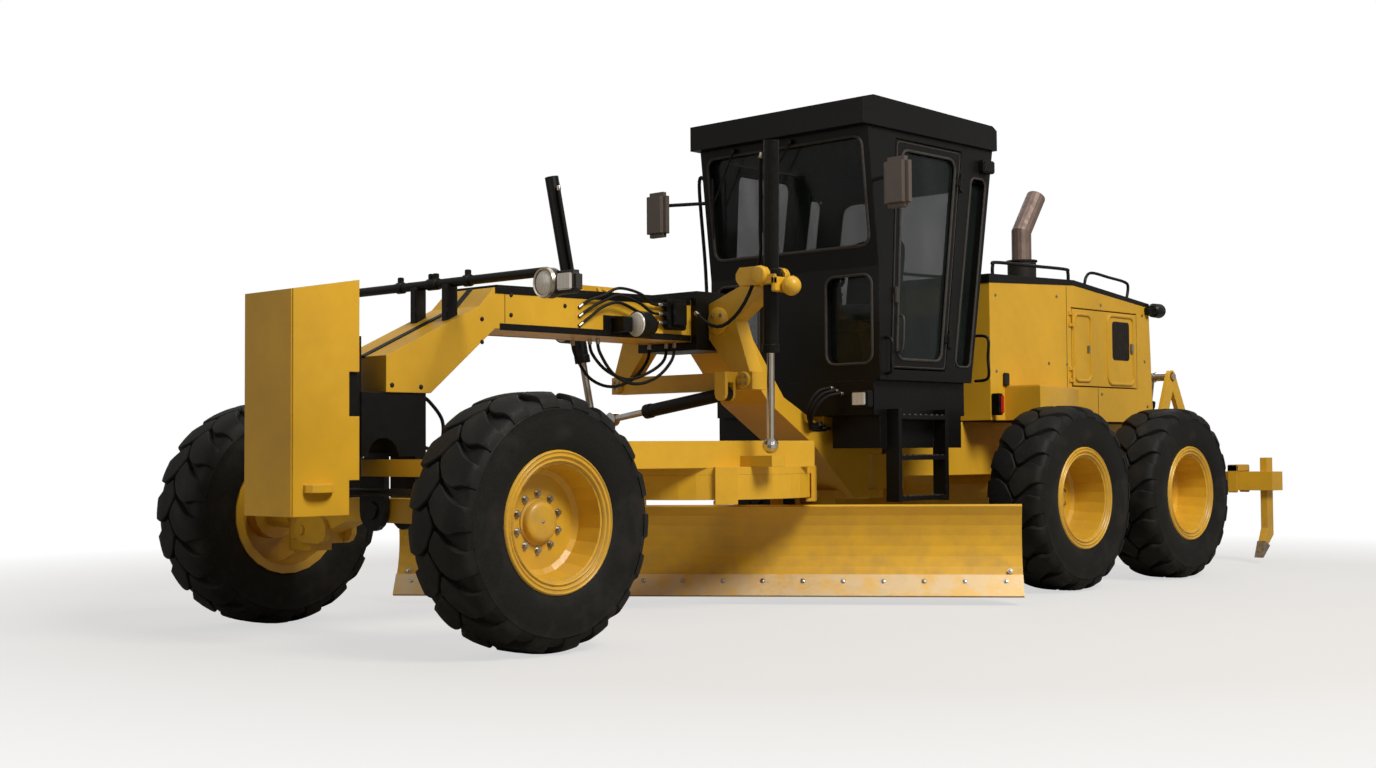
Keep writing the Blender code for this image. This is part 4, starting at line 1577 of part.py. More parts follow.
# Ripper
def make_ripper():
    pin = (RIPPER_PIN_Y, RIPPER_PIN_Z)
    apex = (RIPPER_APEX_Y, RIPPER_APEX_Z)
    beam_middle = (sum(RIPPER_BEAM_Y) / 2, sum(RIPPER_BEAM_Z) / 2)
    bar = RIPPER_BAR_RADIUS
    beam_end = (beam_middle[0] - bar, beam_middle[1])
    shapes = [block((-RIPPER_BEAM_HALF, RIPPER_BEAM_HALF), RIPPER_BEAM_Y, RIPPER_BEAM_Z)]
    for side in (1, -1):
        x = sorted((side * (RIPPER_ARM_X - RIPPER_ARM_PLATE / 2),
                    side * (RIPPER_ARM_X + RIPPER_ARM_PLATE / 2)))
        for start, end in ((pin, apex), (apex, beam_end), (pin, beam_end)):
            shapes.append(round_end_bar("X", x[0], x[1], start, end, bar))
    shank = [(SHANK_Y[0], RIPPER_BEAM_Z[1] + SHANK_HEAD), (SHANK_Y[0], SHANK_KNEE_Z),
             (SHANK_TIP_Y, SHANK_TIP_Z), (SHANK_Y[1], SHANK_KNEE_Z - SHANK_HEAD / 2),
             (SHANK_Y[1], RIPPER_BEAM_Z[1] + SHANK_HEAD)]
    for x in (-SHANK_X, 0, SHANK_X):
        shapes.append(prism("X", x - SHANK_WIDTH / 2, x + SHANK_WIDTH / 2, shank))
    outer = RIPPER_ARM_X + RIPPER_ARM_PLATE
    holes = [rod((-outer, *point), (outer, *point), PIN_RADIUS + room)
             for point, room in ((pin, PIN_GAP), (apex, APEX_ROOM))]
    add_node("ripper", "ripper", "yellow_paint", shapes, holes)

    barrels = []
    bores = []
    boss = RIPPER_ARM_X - RIPPER_ARM_PLATE / 2 - SEAT_GAP
    rods = [rod((-outer, *apex), (outer, *apex), PIN_RADIUS),
            rod((-boss, *apex), (boss, *apex), RIPPER_BOSS_RADIUS - BOSS_STEP)]
    for side in (1, -1):
        x = side * RIPPER_CYLINDER_X
        barrel, bore, piston = cylinder_shapes((x, *apex), (x, *RIPPER_CYLINDER_FOOT), RIPPER_BARREL_RADIUS,
                                               RIPPER_ROD_RADIUS, RIPPER_MOUTH_SHARE, RIPPER_ROOM)
        barrels += barrel
        bores.append(bore)
        rods += [piston, eye((x, *apex), (1, 0, 0), RIPPER_EYE_RADIUS, RIPPER_EYE_WIDTH)]
    shaft_x = RIPPER_LUG_X[1]
    barrels.append(rod((-shaft_x, *RIPPER_CYLINDER_FOOT), (shaft_x, *RIPPER_CYLINDER_FOOT),
                       RIPPER_SHAFT_RADIUS))
    collar_x = RIPPER_LUG_X[0] - SEAT_GAP
    barrels.append(rod((-collar_x, *RIPPER_CYLINDER_FOOT), (collar_x, *RIPPER_CYLINDER_FOOT),
                       RIPPER_SHAFT_RADIUS + BOSS_STEP))
    add_node("ripper_barrels", "ripper_barrels", "black_paint", barrels, bores)
    add_node("ripper_rods", "ripper_rods", "chrome", rods)


make_bodies()
make_wheels()
make_front_axle()
make_lean_yokes()
make_knuckles()
make_front_frame()
make_bolster()
make_push_block()
make_drawbar()
make_circle()
make_blade()
make_saddle()
make_lift_cylinders()
make_shift_cylinder()
make_cab()
make_cab_base()
make_cab_inside()
make_rear_frame()
make_tandem_drive()
make_hood()
make_ripper()
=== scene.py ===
"""Looks for the motor grader: paint, rubber, glass, tyre tread, lamps, rails, hoses, bolts and seat.

Places are stations from the front axle line, as in the part's source; OFFSET moves them to the frame.
"""

import math

import bmesh
import bpy
from mathutils import Matrix, Vector


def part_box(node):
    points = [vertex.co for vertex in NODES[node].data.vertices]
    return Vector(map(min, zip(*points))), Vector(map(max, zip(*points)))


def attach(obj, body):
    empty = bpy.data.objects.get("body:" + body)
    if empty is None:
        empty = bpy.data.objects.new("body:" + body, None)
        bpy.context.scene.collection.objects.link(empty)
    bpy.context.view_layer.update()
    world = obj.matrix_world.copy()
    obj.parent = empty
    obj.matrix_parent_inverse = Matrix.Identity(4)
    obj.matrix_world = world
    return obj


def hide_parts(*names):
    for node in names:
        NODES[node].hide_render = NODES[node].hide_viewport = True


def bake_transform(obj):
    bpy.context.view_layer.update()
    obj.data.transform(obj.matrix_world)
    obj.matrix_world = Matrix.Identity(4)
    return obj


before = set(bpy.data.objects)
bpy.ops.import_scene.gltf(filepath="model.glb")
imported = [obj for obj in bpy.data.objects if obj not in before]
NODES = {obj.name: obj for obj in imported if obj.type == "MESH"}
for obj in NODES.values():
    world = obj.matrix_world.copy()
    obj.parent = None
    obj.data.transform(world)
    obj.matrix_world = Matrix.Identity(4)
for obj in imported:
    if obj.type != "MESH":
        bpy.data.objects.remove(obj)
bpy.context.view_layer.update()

FRAME_LOW, FRAME_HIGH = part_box("front_frame")
PUSH_FRONT_Y = -0.768
OFFSET = Vector(((FRAME_LOW.x + FRAME_HIGH.x) / 2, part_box("push_block")[0].y - PUSH_FRONT_Y, 0))

SIDES = (("left", 1), ("right", -1))
TRACK_HALF = 1.167
AXLE_Z = 0.645
# Wheel row, its axle's Y, where its disc stands outwards of the tyre's middle
WHEEL_ROWS = (("front", 0.0, 0.035), ("tandem_front", 4.906, -0.060), ("tandem_rear", 6.431, -0.060))

# Noises in the finishes: scale and detail
DRIFT = (1.1, 5)
PATCHES = (9, 6)
PEEL = (260, 2)
SCUFFS = (28, 8)
SOIL = (0.20, 0.15, 0.10)
SOIL_TOP = 0.75
TYRE_DUST = (0.030, 0.026, 0.022)


# Materials
def material(name):
    """(new node material, its nodes, its shader)."""
    made = bpy.data.materials.new(name)
    made.use_nodes = True
    nodes = made.node_tree.nodes
    return made, nodes, nodes["Principled BSDF"]


def filled(node, *ordered, **named):
    """The node with values or links in its inputs, in their order or by name (an underscore for a space)."""
    spaced = [(name.replace("_", " "), value) for name, value in named.items()]
    for key, value in [*enumerate(ordered), *spaced]:
        if isinstance(value, bpy.types.NodeSocket):
            node.id_data.links.new(value, node.inputs[key])
        else:
            node.inputs[key].default_value = value
    return node


def object_noise(nodes, scale, detail=4, stretch=(1, 1, 1)):
    """Noise in the object's own coordinates, so that it stays on the piece when a joint moves it."""
    place = nodes.new("ShaderNodeTexCoord").outputs["Object"]
    mapping = filled(nodes.new("ShaderNodeMapping"), Scale=stretch, Vector=place)
    noise = filled(nodes.new("ShaderNodeTexNoise"), Scale=scale, Detail=detail,
                   Vector=mapping.outputs["Vector"])
    return noise.outputs["Fac"]


def spread(nodes, value, source, target):
    """Maps value from the pair source to the pair target."""
    step = filled(nodes.new("ShaderNodeMapRange"), Value=value, From_Min=source[0], From_Max=source[1],
                  To_Min=target[0], To_Max=target[1])
    return step.outputs["Result"]


def blended(nodes, share, low, high):
    """Mix of two colours, each a triple or a socket."""
    mix = nodes.new("ShaderNodeMix")
    mix.data_type = "RGBA"
    low, high = ((*colour, 1) if isinstance(colour, tuple) else colour for colour in (low, high))
    return filled(mix, A=low, B=high, Factor=share).outputs["Result"]


def edge_mask(nodes, radius):
    """(1 near sharp edges and 0 on flats, rounded normal)."""
    bevel = filled(nodes.new("ShaderNodeBevel"), Radius=radius)
    bevel.samples = 4
    rounded_normal = bevel.outputs["Normal"]
    flat = nodes.new("ShaderNodeNewGeometry").outputs["Normal"]
    dot = filled(nodes.new("ShaderNodeVectorMath"), rounded_normal, flat)
    dot.operation = "DOT_PRODUCT"
    return spread(nodes, dot.outputs["Value"], (0.995, 0.90), (0, 1)), rounded_normal


def bumped(nodes, height, strength, distance, **normal):
    """Normal raised by a height socket, over another Normal if one is given."""
    bump = filled(nodes.new("ShaderNodeBump"), Strength=strength, Distance=distance, Height=height, **normal)
    return bump.outputs["Normal"]


def multiplied(nodes, a, b):
    """Product of two sockets."""
    step = filled(nodes.new("ShaderNodeMath"), a, b)
    step.operation = "MULTIPLY"
    return step.outputs["Value"]


def paint(name, colour, worn, roughness=0.38, coat=0.25, edge=0.006, wear=0.5, dust=0.35, fade=0.12,
          shine=0.5):
    """Sprayed enamel: slow colour drift, orange peel, worn edges and dust low down."""
    made, nodes, shader = material(name)
    drift, patches, peel, scuffs = (object_noise(nodes, *noise) for noise in (DRIFT, PATCHES, PEEL, SCUFFS))
    pale = tuple(min(1, c * (1 + fade)) for c in colour)
    deep = tuple(c * (1 - fade) for c in colour)
    base = blended(nodes, spread(nodes, drift, (0.35, 0.65), (0, 1)), deep, pale)
    tone = spread(nodes, patches, (0.45, 0.75), (0, 0.14))
    base = blended(nodes, tone, base, tuple(c * 0.62 for c in colour))
    near, normal = edge_mask(nodes, edge)
    rub = multiplied(nodes, near, spread(nodes, scuffs, (0.48, 0.62), (0, wear)))
    base = blended(nodes, rub, base, worn)
    place = nodes.new("ShaderNodeTexCoord").outputs["Object"]
    split = filled(nodes.new("ShaderNodeSeparateXYZ"), Vector=place)
    low = spread(nodes, split.outputs["Z"], (SOIL_TOP, 0.05), (0, dust))
    dirt = multiplied(nodes, low, spread(nodes, patches, (0.35, 0.65), (0.15, 1)))
    filled(shader, Base_Color=blended(nodes, dirt, base, SOIL), Specular_IOR_Level=shine,
           Roughness=spread(nodes, scuffs, (0.3, 0.7), (roughness - 0.07, roughness + 0.10)),
           Coat_Weight=coat, Coat_Roughness=0.18, Normal=bumped(nodes, peel, 0.05, 0.001, Normal=normal))
    return made


def rubber(name, colour, dust=0.5):
    """Matt rubber with fine grain and patches of dust."""
    made, nodes, shader = material(name)
    fine = object_noise(nodes, 90, 8)
    broad = object_noise(nodes, 6, 5)
    base = blended(nodes, spread(nodes, fine, (0.4, 0.62), (0, 1)), colour, tuple(c * 1.7 for c in colour))
    base = blended(nodes, spread(nodes, broad, (0.52, 0.72), (0, dust)), base, TYRE_DUST)
    filled(shader, Base_Color=base, Specular_IOR_Level=0.16,
           Roughness=spread(nodes, fine, (0.3, 0.7), (0.50, 0.72)), Normal=bumped(nodes, fine, 0.18, 0.002))
    return made


def metal(name, colour, roughness, tint, grain=(1, 1, 1), metallic=1.0):
    """Bare metal with drawn grain and a second tint in patches."""
    made, nodes, shader = material(name)
    patches = object_noise(nodes, 7, 6)
    lines = object_noise(nodes, 30, 5, grain)
    filled(shader, Base_Color=blended(nodes, spread(nodes, patches, (0.42, 0.68), (0, 1)), colour, tint),
           Roughness=spread(nodes, lines, (0.3, 0.7), (roughness * 0.7, roughness * 1.5)),
           Metallic=metallic, Normal=bumped(nodes, lines, 0.06, 0.001))
    return made


def glass(name, colour, alpha):
    """Tinted pane with faint smears."""
    made, nodes, shader = material(name)
    smears = object_noise(nodes, 5, 7, (1, 1, 0.35))
    base = blended(nodes, spread(nodes, smears, (0.4, 0.7), (0, 1)), colour, tuple(c * 1.5 for c in colour))
    filled(shader, Base_Color=base, Roughness=spread(nodes, smears, (0.35, 0.75), (0.03, 0.12)),
           Alpha=spread(nodes, smears, (0.35, 0.75), (alpha - 0.04, alpha + 0.08)), Specular_IOR_Level=0.35)
    return made


def waves(nodes, axis, scale, distortion):
    """Bands across an axis of the object's own coordinates."""
    place = nodes.new("ShaderNodeTexCoord").outputs["Object"]
    wave = filled(nodes.new("ShaderNodeTexWave"), Scale=scale, Distortion=distortion, Vector=place)
    wave.bands_direction = axis
    return wave.outputs["Fac"]


def woven(name, colour):
    """Seat cloth: two crossed thread waves over a fine noise."""
    made, nodes, shader = material(name)
    weave = multiplied(nodes, *(waves(nodes, axis, 140, 1.2) for axis in "XZ"))
    fuzz = spread(nodes, object_noise(nodes, 30, 6), (0.45, 0.7), (0, 0.4))
    base = blended(nodes, weave, colour, tuple(c * 2.2 for c in colour))
    filled(shader, Base_Color=blended(nodes, fuzz, base, tuple(c * 0.6 for c in colour)), Roughness=0.9,
           Sheen_Weight=0.3, Normal=bumped(nodes, weave, 0.4, 0.001))
    return made


def lens(name, colour, glow):
    """Ribbed lamp glass, its ribs painted lighter by glow as a painted highlight."""
    made, nodes, shader = material(name)
    ribs = waves(nodes, "X", 30, 0.6)
    # Painted highlight: the rib bands are lighter by glow
    filled(shader, Base_Color=blended(nodes, ribs, colour, tuple(min(1, c * glow) for c in colour)),
           Roughness=0.12, Coat_Weight=0.6, Normal=bumped(nodes, ribs, 0.3, 0.003))
    return made


YELLOW = paint("yellow_enamel", (0.64, 0.360, 0.022), (0.30, 0.22, 0.13), coat=0.12, shine=0.35)
BLACK = paint("black_enamel", (0.005, 0.005, 0.0045), (0.07, 0.06, 0.05), coat=0.03, fade=0.25,
              dust=0.06, shine=0.16)
RUBBER = rubber("tyre_rubber", (0.006, 0.006, 0.0055))
HOSE = rubber("hose_rubber", (0.005, 0.005, 0.005), dust=0.2)
SEAL = rubber("window_seal", (0.035, 0.032, 0.030), dust=0.2)
CHROME = metal("chrome_rod", (0.62, 0.60, 0.57), 0.14, (0.50, 0.46, 0.42), (1, 1, 12))
STEEL = metal("zinc_bolts", (0.42, 0.39, 0.34), 0.32, (0.30, 0.25, 0.19))
EDGE_STEEL = metal("worn_edge", (0.62, 0.46, 0.26), 0.42, (0.66, 0.40, 0.09), (1, 1, 5), metallic=0.35)
EXHAUST = metal("heated_steel", (0.16, 0.115, 0.10), 0.50, (0.24, 0.17, 0.14), (1, 1, 0.4), metallic=0.55)
GLASS = glass("tinted_glass", (0.010, 0.014, 0.013), 0.50)
CLOTH = woven("seat_cloth", (0.030, 0.030, 0.034))
# Last number: how much lighter the painted rib highlights are
CLEAR = lens("lamp_lens", (0.50, 0.48, 0.44), 1.6)
AMBER = lens("amber_lens", (0.60, 0.14, 0.02), 1.4)
RED = lens("red_lens", (0.42, 0.015, 0.012), 1.5)
PLASTIC = paint("grey_plastic", (0.040, 0.036, 0.033), (0.10, 0.09, 0.08), roughness=0.5, coat=0.03,
                fade=0.2, dust=0, wear=0.2, shine=0.25)
MIRROR_GREY = paint("mirror_grey", (0.115, 0.092, 0.078), (0.16, 0.13, 0.11), roughness=0.45, coat=0.05,
                    fade=0.2, dust=0, wear=0.3, shine=0.4)
DARK_IRON = paint("dark_casting", (0.018, 0.014, 0.012), (0.10, 0.08, 0.06), roughness=0.55, coat=0.03,
                  fade=0.2, shine=0.2)

# The CAD nodes' finishes; a name that stands for a left and a right node has its side left off
FINISH_OF = (
    (YELLOW, "blade_carrier circle drawbar engine_hood front_axle front_frame hood_door knuckle lean_bar "
             "lean_yoke lift_arms moldboard push_block rear_frame ripper tandem_drive rim_front "
             "rim_tandem_front rim_tandem_rear"),
    (BLACK, "cab_base cab_door cab_roof cab_shell console front_bolster hood_mounts lift_barrel "
            "ripper_barrels saddle shift_barrel tie_rod"),
    (GLASS, "front_glass rear_glass door_glass"),
    (CHROME, "lift_rod shift_rod ripper_rods"),
    (STEEL, "drawbar_ball tie_rod_end"),
    (EDGE_STEEL, "cutting_edge"), (EXHAUST, "exhaust"), (DARK_IRON, "engine_block"))
NODE_FINISH = {node: finish for finish, group in FINISH_OF for node in group.split()}
for node, item in NODES.items():
    item.data.materials.clear()
    item.data.materials.append(NODE_FINISH.get(node.removesuffix("_left").removesuffix("_right"), BLACK))


# Shapes
def placed(name, data):
    """New object in the scene."""
    item = bpy.data.objects.new(name, data)
    bpy.context.scene.collection.objects.link(item)
    return item


def joined(shapes):
    """One bmesh of several."""
    whole = bmesh.new()
    for shape in shapes:
        mesh = bpy.data.meshes.new("part")
        shape.to_mesh(mesh)
        whole.from_mesh(mesh)
        bpy.data.meshes.remove(mesh)
    return whole


def piece(name, body, finish, shapes, angle=35, offset=OFFSET):
    """Object from shapes in stations, riding on a CAD body; angle is where its edges turn sharp."""
    whole = joined(shapes)
    bmesh.ops.recalc_face_normals(whole, faces=whole.faces)
    mesh = bpy.data.meshes.new(name)
    whole.to_mesh(mesh)
    mesh.materials.append(finish)
    mesh.shade_smooth()
    mesh.set_sharp_from_angle(angle=math.radians(angle))
    item = placed(name, mesh)
    item.location = offset
    if body:
        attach(item, body)
    return item


def sided(side, shape):
    """The shape itself on the left (side 1), or its mirror image on the right (side -1)."""
    if side > 0:
        return shape
    other = shape.copy()
    other.transform(Matrix.Scale(-1, 4, (1, 0, 0)))
    return other


def x_pair(side, near, far):
    """(low, high) X of a box between two distances from the middle, on one side."""
    return sorted((side * near, side * far))


def across(axis):
    """(unit axis, two directions square to it)."""
    axis = Vector(axis).normalized()
    aid = Vector((0, 0, 1)) if abs(axis.z) < 0.9 else Vector((1, 0, 0))
    first = axis.cross(aid).normalized()
    return axis, first, axis.cross(first)


def turns(count, phase=0.5):
    """Angles of a full turn's equal parts."""
    return [math.tau * (i + phase) / count for i in range(count)]


def skinned(shape, rings, closed=False, shift=0, capped=True):
    """Shape with faces between its rings; a closed one's first ring ends it too, shifted."""
    count = len(rings[0])
    again = [rings[0][shift:] + rings[0][:shift]] if closed else []
    for low, high in zip(rings, rings[1:] + again):
        for i in range(count):
            j = (i + 1) % count
            shape.faces.new((low[i], low[j], high[j], high[i]))
    if capped and not closed:
        shape.faces.new(rings[0])
        shape.faces.new(rings[-1])
    return shape


def lathe(centre, axis, profile, facets=32, closed=False):
    """Turned shape; profile is (distance along axis, radius)."""
    shape = bmesh.new()
    axis, first, second = across(axis)
    rings = []
    for along, radius in profile:
        rings.append([shape.verts.new(Vector(centre) + axis * along + radius * (
            math.cos(t) * first + math.sin(t) * second)) for t in turns(facets)])
    return skinned(shape, rings, closed)


def smooth_route(points, steps=6, closed=False):
    """Points of a Catmull-Rom curve through the given ones."""
    points = [Vector(p) for p in points]
    count = len(points)
    made = []
    spans = count if closed else count - 1
    for i in range(spans):
        a, b, c, d = (points[(i + k) % count] if closed else points[min(max(i + k, 0), count - 1)]
                      for k in (-1, 0, 1, 2))
        for step in range(steps):
            t = step / steps
            made.append(0.5 * ((2 * b) + (c - a) * t + (2 * a - 5 * b + 4 * c - d) * t * t
                               + (3 * b - a - 3 * c + d) * t ** 3))
    if not closed:
        made.append(points[-1])
    return made


def tube(route, radius, facets=10, closed=False):
    """Round bar along a route of close points."""
    route = [Vector(p) for p in route]
    count = len(route)
    shape = bmesh.new()
    rings = []
    heading = (route[1] - route[0]).normalized()
    _, first, _ = across(heading)
    for i, point in enumerate(route):
        before = route[i - 1] if i or closed else point
        after = route[(i + 1) % count] if i + 1 < count or closed else point
        way = (after - before).normalized()
        first = (first - way * first.dot(way)).normalized()
        second = way.cross(first)
        rings.append([shape.verts.new(point + radius * (math.cos(t) * first + math.sin(t) * second))
                      for t in turns(facets, 0)])
    shift = 0
    if closed:
        gaps = [(rings[-1][0].co - v.co).length for v in rings[0]]
        shift = gaps.index(min(gaps))
    return skinned(shape, rings, closed, shift)


def slab(x, y, z, bevel=0.0, segments=2):
    """Box between pairs, with rounded edges."""
    shape = bmesh.new()
    corner = [[[shape.verts.new((a, b, c)) for c in z] for b in y] for a in x]
    for face in (((0, 0, 0), (0, 0, 1), (0, 1, 1), (0, 1, 0)), ((1, 0, 0), (1, 1, 0), (1, 1, 1), (1, 0, 1)),
                 ((0, 0, 0), (1, 0, 0), (1, 0, 1), (0, 0, 1)), ((0, 1, 0), (0, 1, 1), (1, 1, 1), (1, 1, 0)),
                 ((0, 0, 0), (0, 1, 0), (1, 1, 0), (1, 0, 0)), ((0, 0, 1), (1, 0, 1), (1, 1, 1), (0, 1, 1))):
        shape.faces.new([corner[a][b][c] for a, b, c in face])
    if bevel:
        bmesh.ops.bevel(shape, geom=shape.edges[:], offset=bevel, segments=segments, affect="EDGES")
    return shape


def plate(place, outline, low, high, bevel=0.0):
    """Outline pushed from low to high; place(a, b, depth) gives the point."""
    shape = bmesh.new()
    rings = [[shape.verts.new(place(a, b, depth)) for a, b in outline] for depth in (low, high)]
    skinned(shape, rings)
    if bevel:
        rim = [e for e in shape.edges if all(v in rings[1] for v in e.verts)]
        bmesh.ops.bevel(shape, geom=rim, offset=bevel, segments=2, affect="EDGES")
    return shape


def rounded(outline, radius, steps=5):
    """Outline with its corners rounded."""
    points = [Vector(p) for p in outline]
    count = len(points)
    made = []
    for i, corner in enumerate(points):
        before = (points[i - 1] - corner).normalized()
        after = (points[(i + 1) % count] - corner).normalized()
        half = before.angle(after) / 2
        back = radius / math.tan(half)
        centre = corner + (before + after).normalized() * radius / math.sin(half)
        start = corner + before * back - centre
        end = corner + after * back - centre
        for step in range(steps + 1):
            made.append(tuple(centre + start.slerp(end, step / steps, start) * radius))
    return made


def box_outline(a, b):
    """Rectangle between two pairs."""
    return [(a[0], b[0]), (a[1], b[0]), (a[1], b[1]), (a[0], b[1])]


def bolt(point, axis, radius, height):
    """Washer and hexagon head."""
    head = lathe(point, axis, [(0, radius), (height * 0.85, radius), (height, radius * 0.8)], 6)
    washer = lathe(point, axis, [(-height * 0.2, radius * 1.45), (height * 0.22, radius * 1.45)], 12)
    return [head, washer]


def on_x(side, reach):
    """Place for plates on a side face at X = side * reach; depth goes outwards."""
    return lambda a, b, depth: (side * (reach + depth), a, b)


# Wheels
LUGS = 18
# Across from the tyre's middle, radius
CARCASS = ((0.196, 0.3515), (0.206, 0.372), (0.216, 0.420), (0.2195, 0.470), (0.2190, 0.515),
           (0.2150, 0.550), (0.2165, 0.556), (0.2130, 0.562), (0.2090, 0.578), (0.1960, 0.594),
           (0.1700, 0.604), (0.1000, 0.611), (0.0, 0.613))
LUG_TOP = ((0.0, 0.6448), (0.10, 0.6430), (0.15, 0.6360), (0.180, 0.6270), (0.200, 0.6120),
           (0.2120, 0.5900))
LUG_FLOOR = ((0.0, 0.6100), (0.10, 0.6080), (0.15, 0.6010), (0.180, 0.5930), (0.198, 0.5830),
             (0.2060, 0.5680))
GROOVE_LINE = ((-0.04, 0.0, 0.075), (0.03, 0.0, 0.075), (0.085, 0.20, 0.085), (0.13, 0.30, 0.13),
               (0.175, 0.33, 0.215), (0.215, 0.34, 0.235))     # across, groove's middle, its half width
CENTRE_SWING = 0.028
LUG_FOOT = 0.004        # below the groove's floor
LUG_ROUND = 0.005
RIM_RINGS = ((0.204, 0.346, 0.011), (0.203, 0.325, 0.010), (0.199, 0.302, 0.010))     # X, radius, width
HUB_CAP = ((0, 0.118), (0.006, 0.115), (0.010, 0.104), (0.030, 0.101), (0.040, 0.092), (0.044, 0.070),
           (0.045, 0.0015))
WHEEL_NUTS = 10
NUT_CIRCLE = 0.140


def along_line(table, x, column=1):
    """Value in a column of a table, between its rows at x in column 0."""
    for a, b in zip(table, table[1:]):
        if x <= b[0]:
            share = (x - a[0]) / (b[0] - a[0])
            return a[column] + (b[column] - a[column]) * share
    return table[-1][column]


def tyre_shape(lean):
    """Carcass of revolution and 36 bent lugs; lean 1 sweeps their shoulders forwards, -1 backwards."""
    profile = list(CARCASS) + [(-x, r) for x, r in CARCASS[-2::-1]]
    carcass = lathe((0, 0, 0), (1, 0, 0), profile, 96, closed=True)
    shapes = [carcass]
    pitch = math.tau / LUGS
    rows = ((-0.04, 0), (0.0, 1), (0.04, 2), (0.22, 2), (0.40, 2), (0.55, 2), (0.68, 2), (0.80, 2),
            (0.90, 2), (0.965, 2), (1.0, 1), (1.03, 0))
    columns = ((-0.045, 0), (0.0, 1), (0.035, 2), (0.27, 2), (0.5, 2), (0.73, 2), (0.965, 2), (1.0, 1),
               (1.045, 0))
    end_x = LUG_TOP[-1][0]
    for half, stagger in ((1, 0.0), (-1, 0.5)):
        for lug in range(LUGS):
            shape = bmesh.new()
            grid = []
            for s, row_level in rows:
                line = []
                for t, column_level in columns:
                    theta = 0.5
                    x = 0.0
                    for _ in range(3):
                        middle = along_line(GROOVE_LINE, x, 1)
                        width = along_line(GROOVE_LINE, x, 2)
                        theta = middle + width + (1 - 2 * width) * t
                        start = 0.007 - CENTRE_SWING * math.cos(math.tau * (theta - 0.5))
                        x = start + (end_x - start) * s
                    level = min(row_level, column_level)
                    x = max(x, -0.04)
                    top = along_line(LUG_TOP, abs(x))
                    floor = along_line(LUG_FLOOR, abs(x))
                    r = (floor - LUG_FOOT, top - LUG_ROUND, top)[level]
                    angle = lean * (lug + stagger + theta) * pitch
                    line.append(shape.verts.new((half * x, r * math.cos(angle), r * math.sin(angle))))
                grid.append(line)
            for low, high in zip(grid, grid[1:]):
                for i in range(len(columns) - 1):
                    shape.faces.new((low[i], low[i + 1], high[i + 1], high[i]))
            border = grid[0] + [line[-1] for line in grid[1:]] + grid[-1][-2::-1] + [
                line[0] for line in grid[-2:0:-1]]
            shape.faces.new(border[::-1])
            shapes.append(shape)
    return joined(shapes)


def rim_trim(disc_x):
    """(flange rings, hub cap, bolts) of one wheel, outwards along +X."""
    rings = [lathe((0, 0, 0), (1, 0, 0), [(x - 0.012, r - w), (x, r - w * 0.6), (x + 0.004, r),
                                          (x, r + w * 0.6), (x - 0.012, r + w)], 72, closed=True)
             for x, r, w in RIM_RINGS]
    cap = [lathe((disc_x, 0, 0), (1, 0, 0), HUB_CAP, 40)]
    nuts = []
    for t in turns(WHEEL_NUTS):
        nuts += bolt((disc_x, NUT_CIRCLE * math.cos(t), NUT_CIRCLE * math.sin(t)), (1, 0, 0), 0.0135, 0.020)
    nuts += bolt((disc_x + 0.0445, 0, 0), (1, 0, 0), 0.006, 0.004)
    return rings + cap, nuts


TREADS = {lean: tyre_shape(lean) for lean in (1, -1)}
for row, wheel_y, disc_x in WHEEL_ROWS:
    for name, side in SIDES:
        body = "wheel_" + row + "_" + name
        centre = OFFSET + Vector((side * TRACK_HALF, wheel_y, AXLE_Z))
        tread = TREADS[1 if row == "front" else -1]
        tyre = piece("tread_" + row + "_" + name, body, RUBBER, [sided(side, tread)], 30, centre)
        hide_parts("tyre_" + row + "_" + name)
        trim, nuts = rim_trim(disc_x)
        piece("rim_rings_" + row + "_" + name, body, YELLOW, [sided(side, s) for s in trim], 40, centre)
        piece("wheel_nuts_" + row + "_" + name, body, STEEL, [sided(side, s) for s in nuts], 35, centre)


# Neck: black stripes, a black band at the foot that paints the shadow groove there, cover bolts, lamp bar and
# side lamps
NECK_HALF = 0.210
NECK_TOP = ((0.566, 1.912), (2.155, 1.934))
# Foot line: the black band under it is painted shade, standing in for the shadow groove between the side
# cover and the bottom plate
NECK_FOOT_SHADE = ((0.600, 1.712), (2.155, 1.712))
TOP_STRIP = ((-0.2125, 0.575), (0.2125, 0.575), (0.2125, 2.155), (-0.2125, 2.155))
NOSE_SLOPE = ((-0.180, 1.505), (0.450, 1.800), (0.560, 1.911))
NOSE_STRIP_HALF = 0.024
COVER_BOLTS = ((-0.142, 1.348), (0.049, 1.342), (0.472, 1.729), (0.472, 1.601), (0.684, 1.876),
               (0.683, 1.762), (1.095, 1.837))     # Y, Z
COVER_SEAM = ((0.636, 1.715), (0.640, 1.715), (0.640, 1.880), (0.636, 1.880))


def band(x, start, finish, depth):
    """Plate on a side face under the line start to finish in (Y, Z)."""
    return plate(on_x(1, x), [start, finish, (finish[0], finish[1] - depth), (start[0], start[1] - depth)],
                 0.0004, 0.0030)


stripes_and_groove_shade = []
for side in (1, -1):
    stripes_and_groove_shade.append(sided(side, band(NECK_HALF, NECK_TOP[0], NECK_TOP[1], 0.034)))
    # Painted shade: a black band under the foot line, where the shadow groove between the side cover and the
    # bottom plate falls
    stripes_and_groove_shade.append(sided(side, band(NECK_HALF, NECK_FOOT_SHADE[0], NECK_FOOT_SHADE[1], 0.038)))
stripes_and_groove_shade.append(plate(lambda a, b, depth: (a, b, 1.911 + 0.0135 * (b - 0.56) + depth), TOP_STRIP,
                     0.0006, 0.016))
for low, high in zip(NOSE_SLOPE, NOSE_SLOPE[1:]):
    rise = (high[1] - low[1]) / (high[0] - low[0])
    stripes_and_groove_shade.append(plate(lambda a, b, depth, low=low, rise=rise: (a, b, low[1] + rise * (b - low[0]) + depth),
                         box_outline((-NOSE_STRIP_HALF, NOSE_STRIP_HALF), (low[0], high[0])),
                         -0.008, 0.006))
piece("neck_stripes", "root", BLACK, stripes_and_groove_shade)

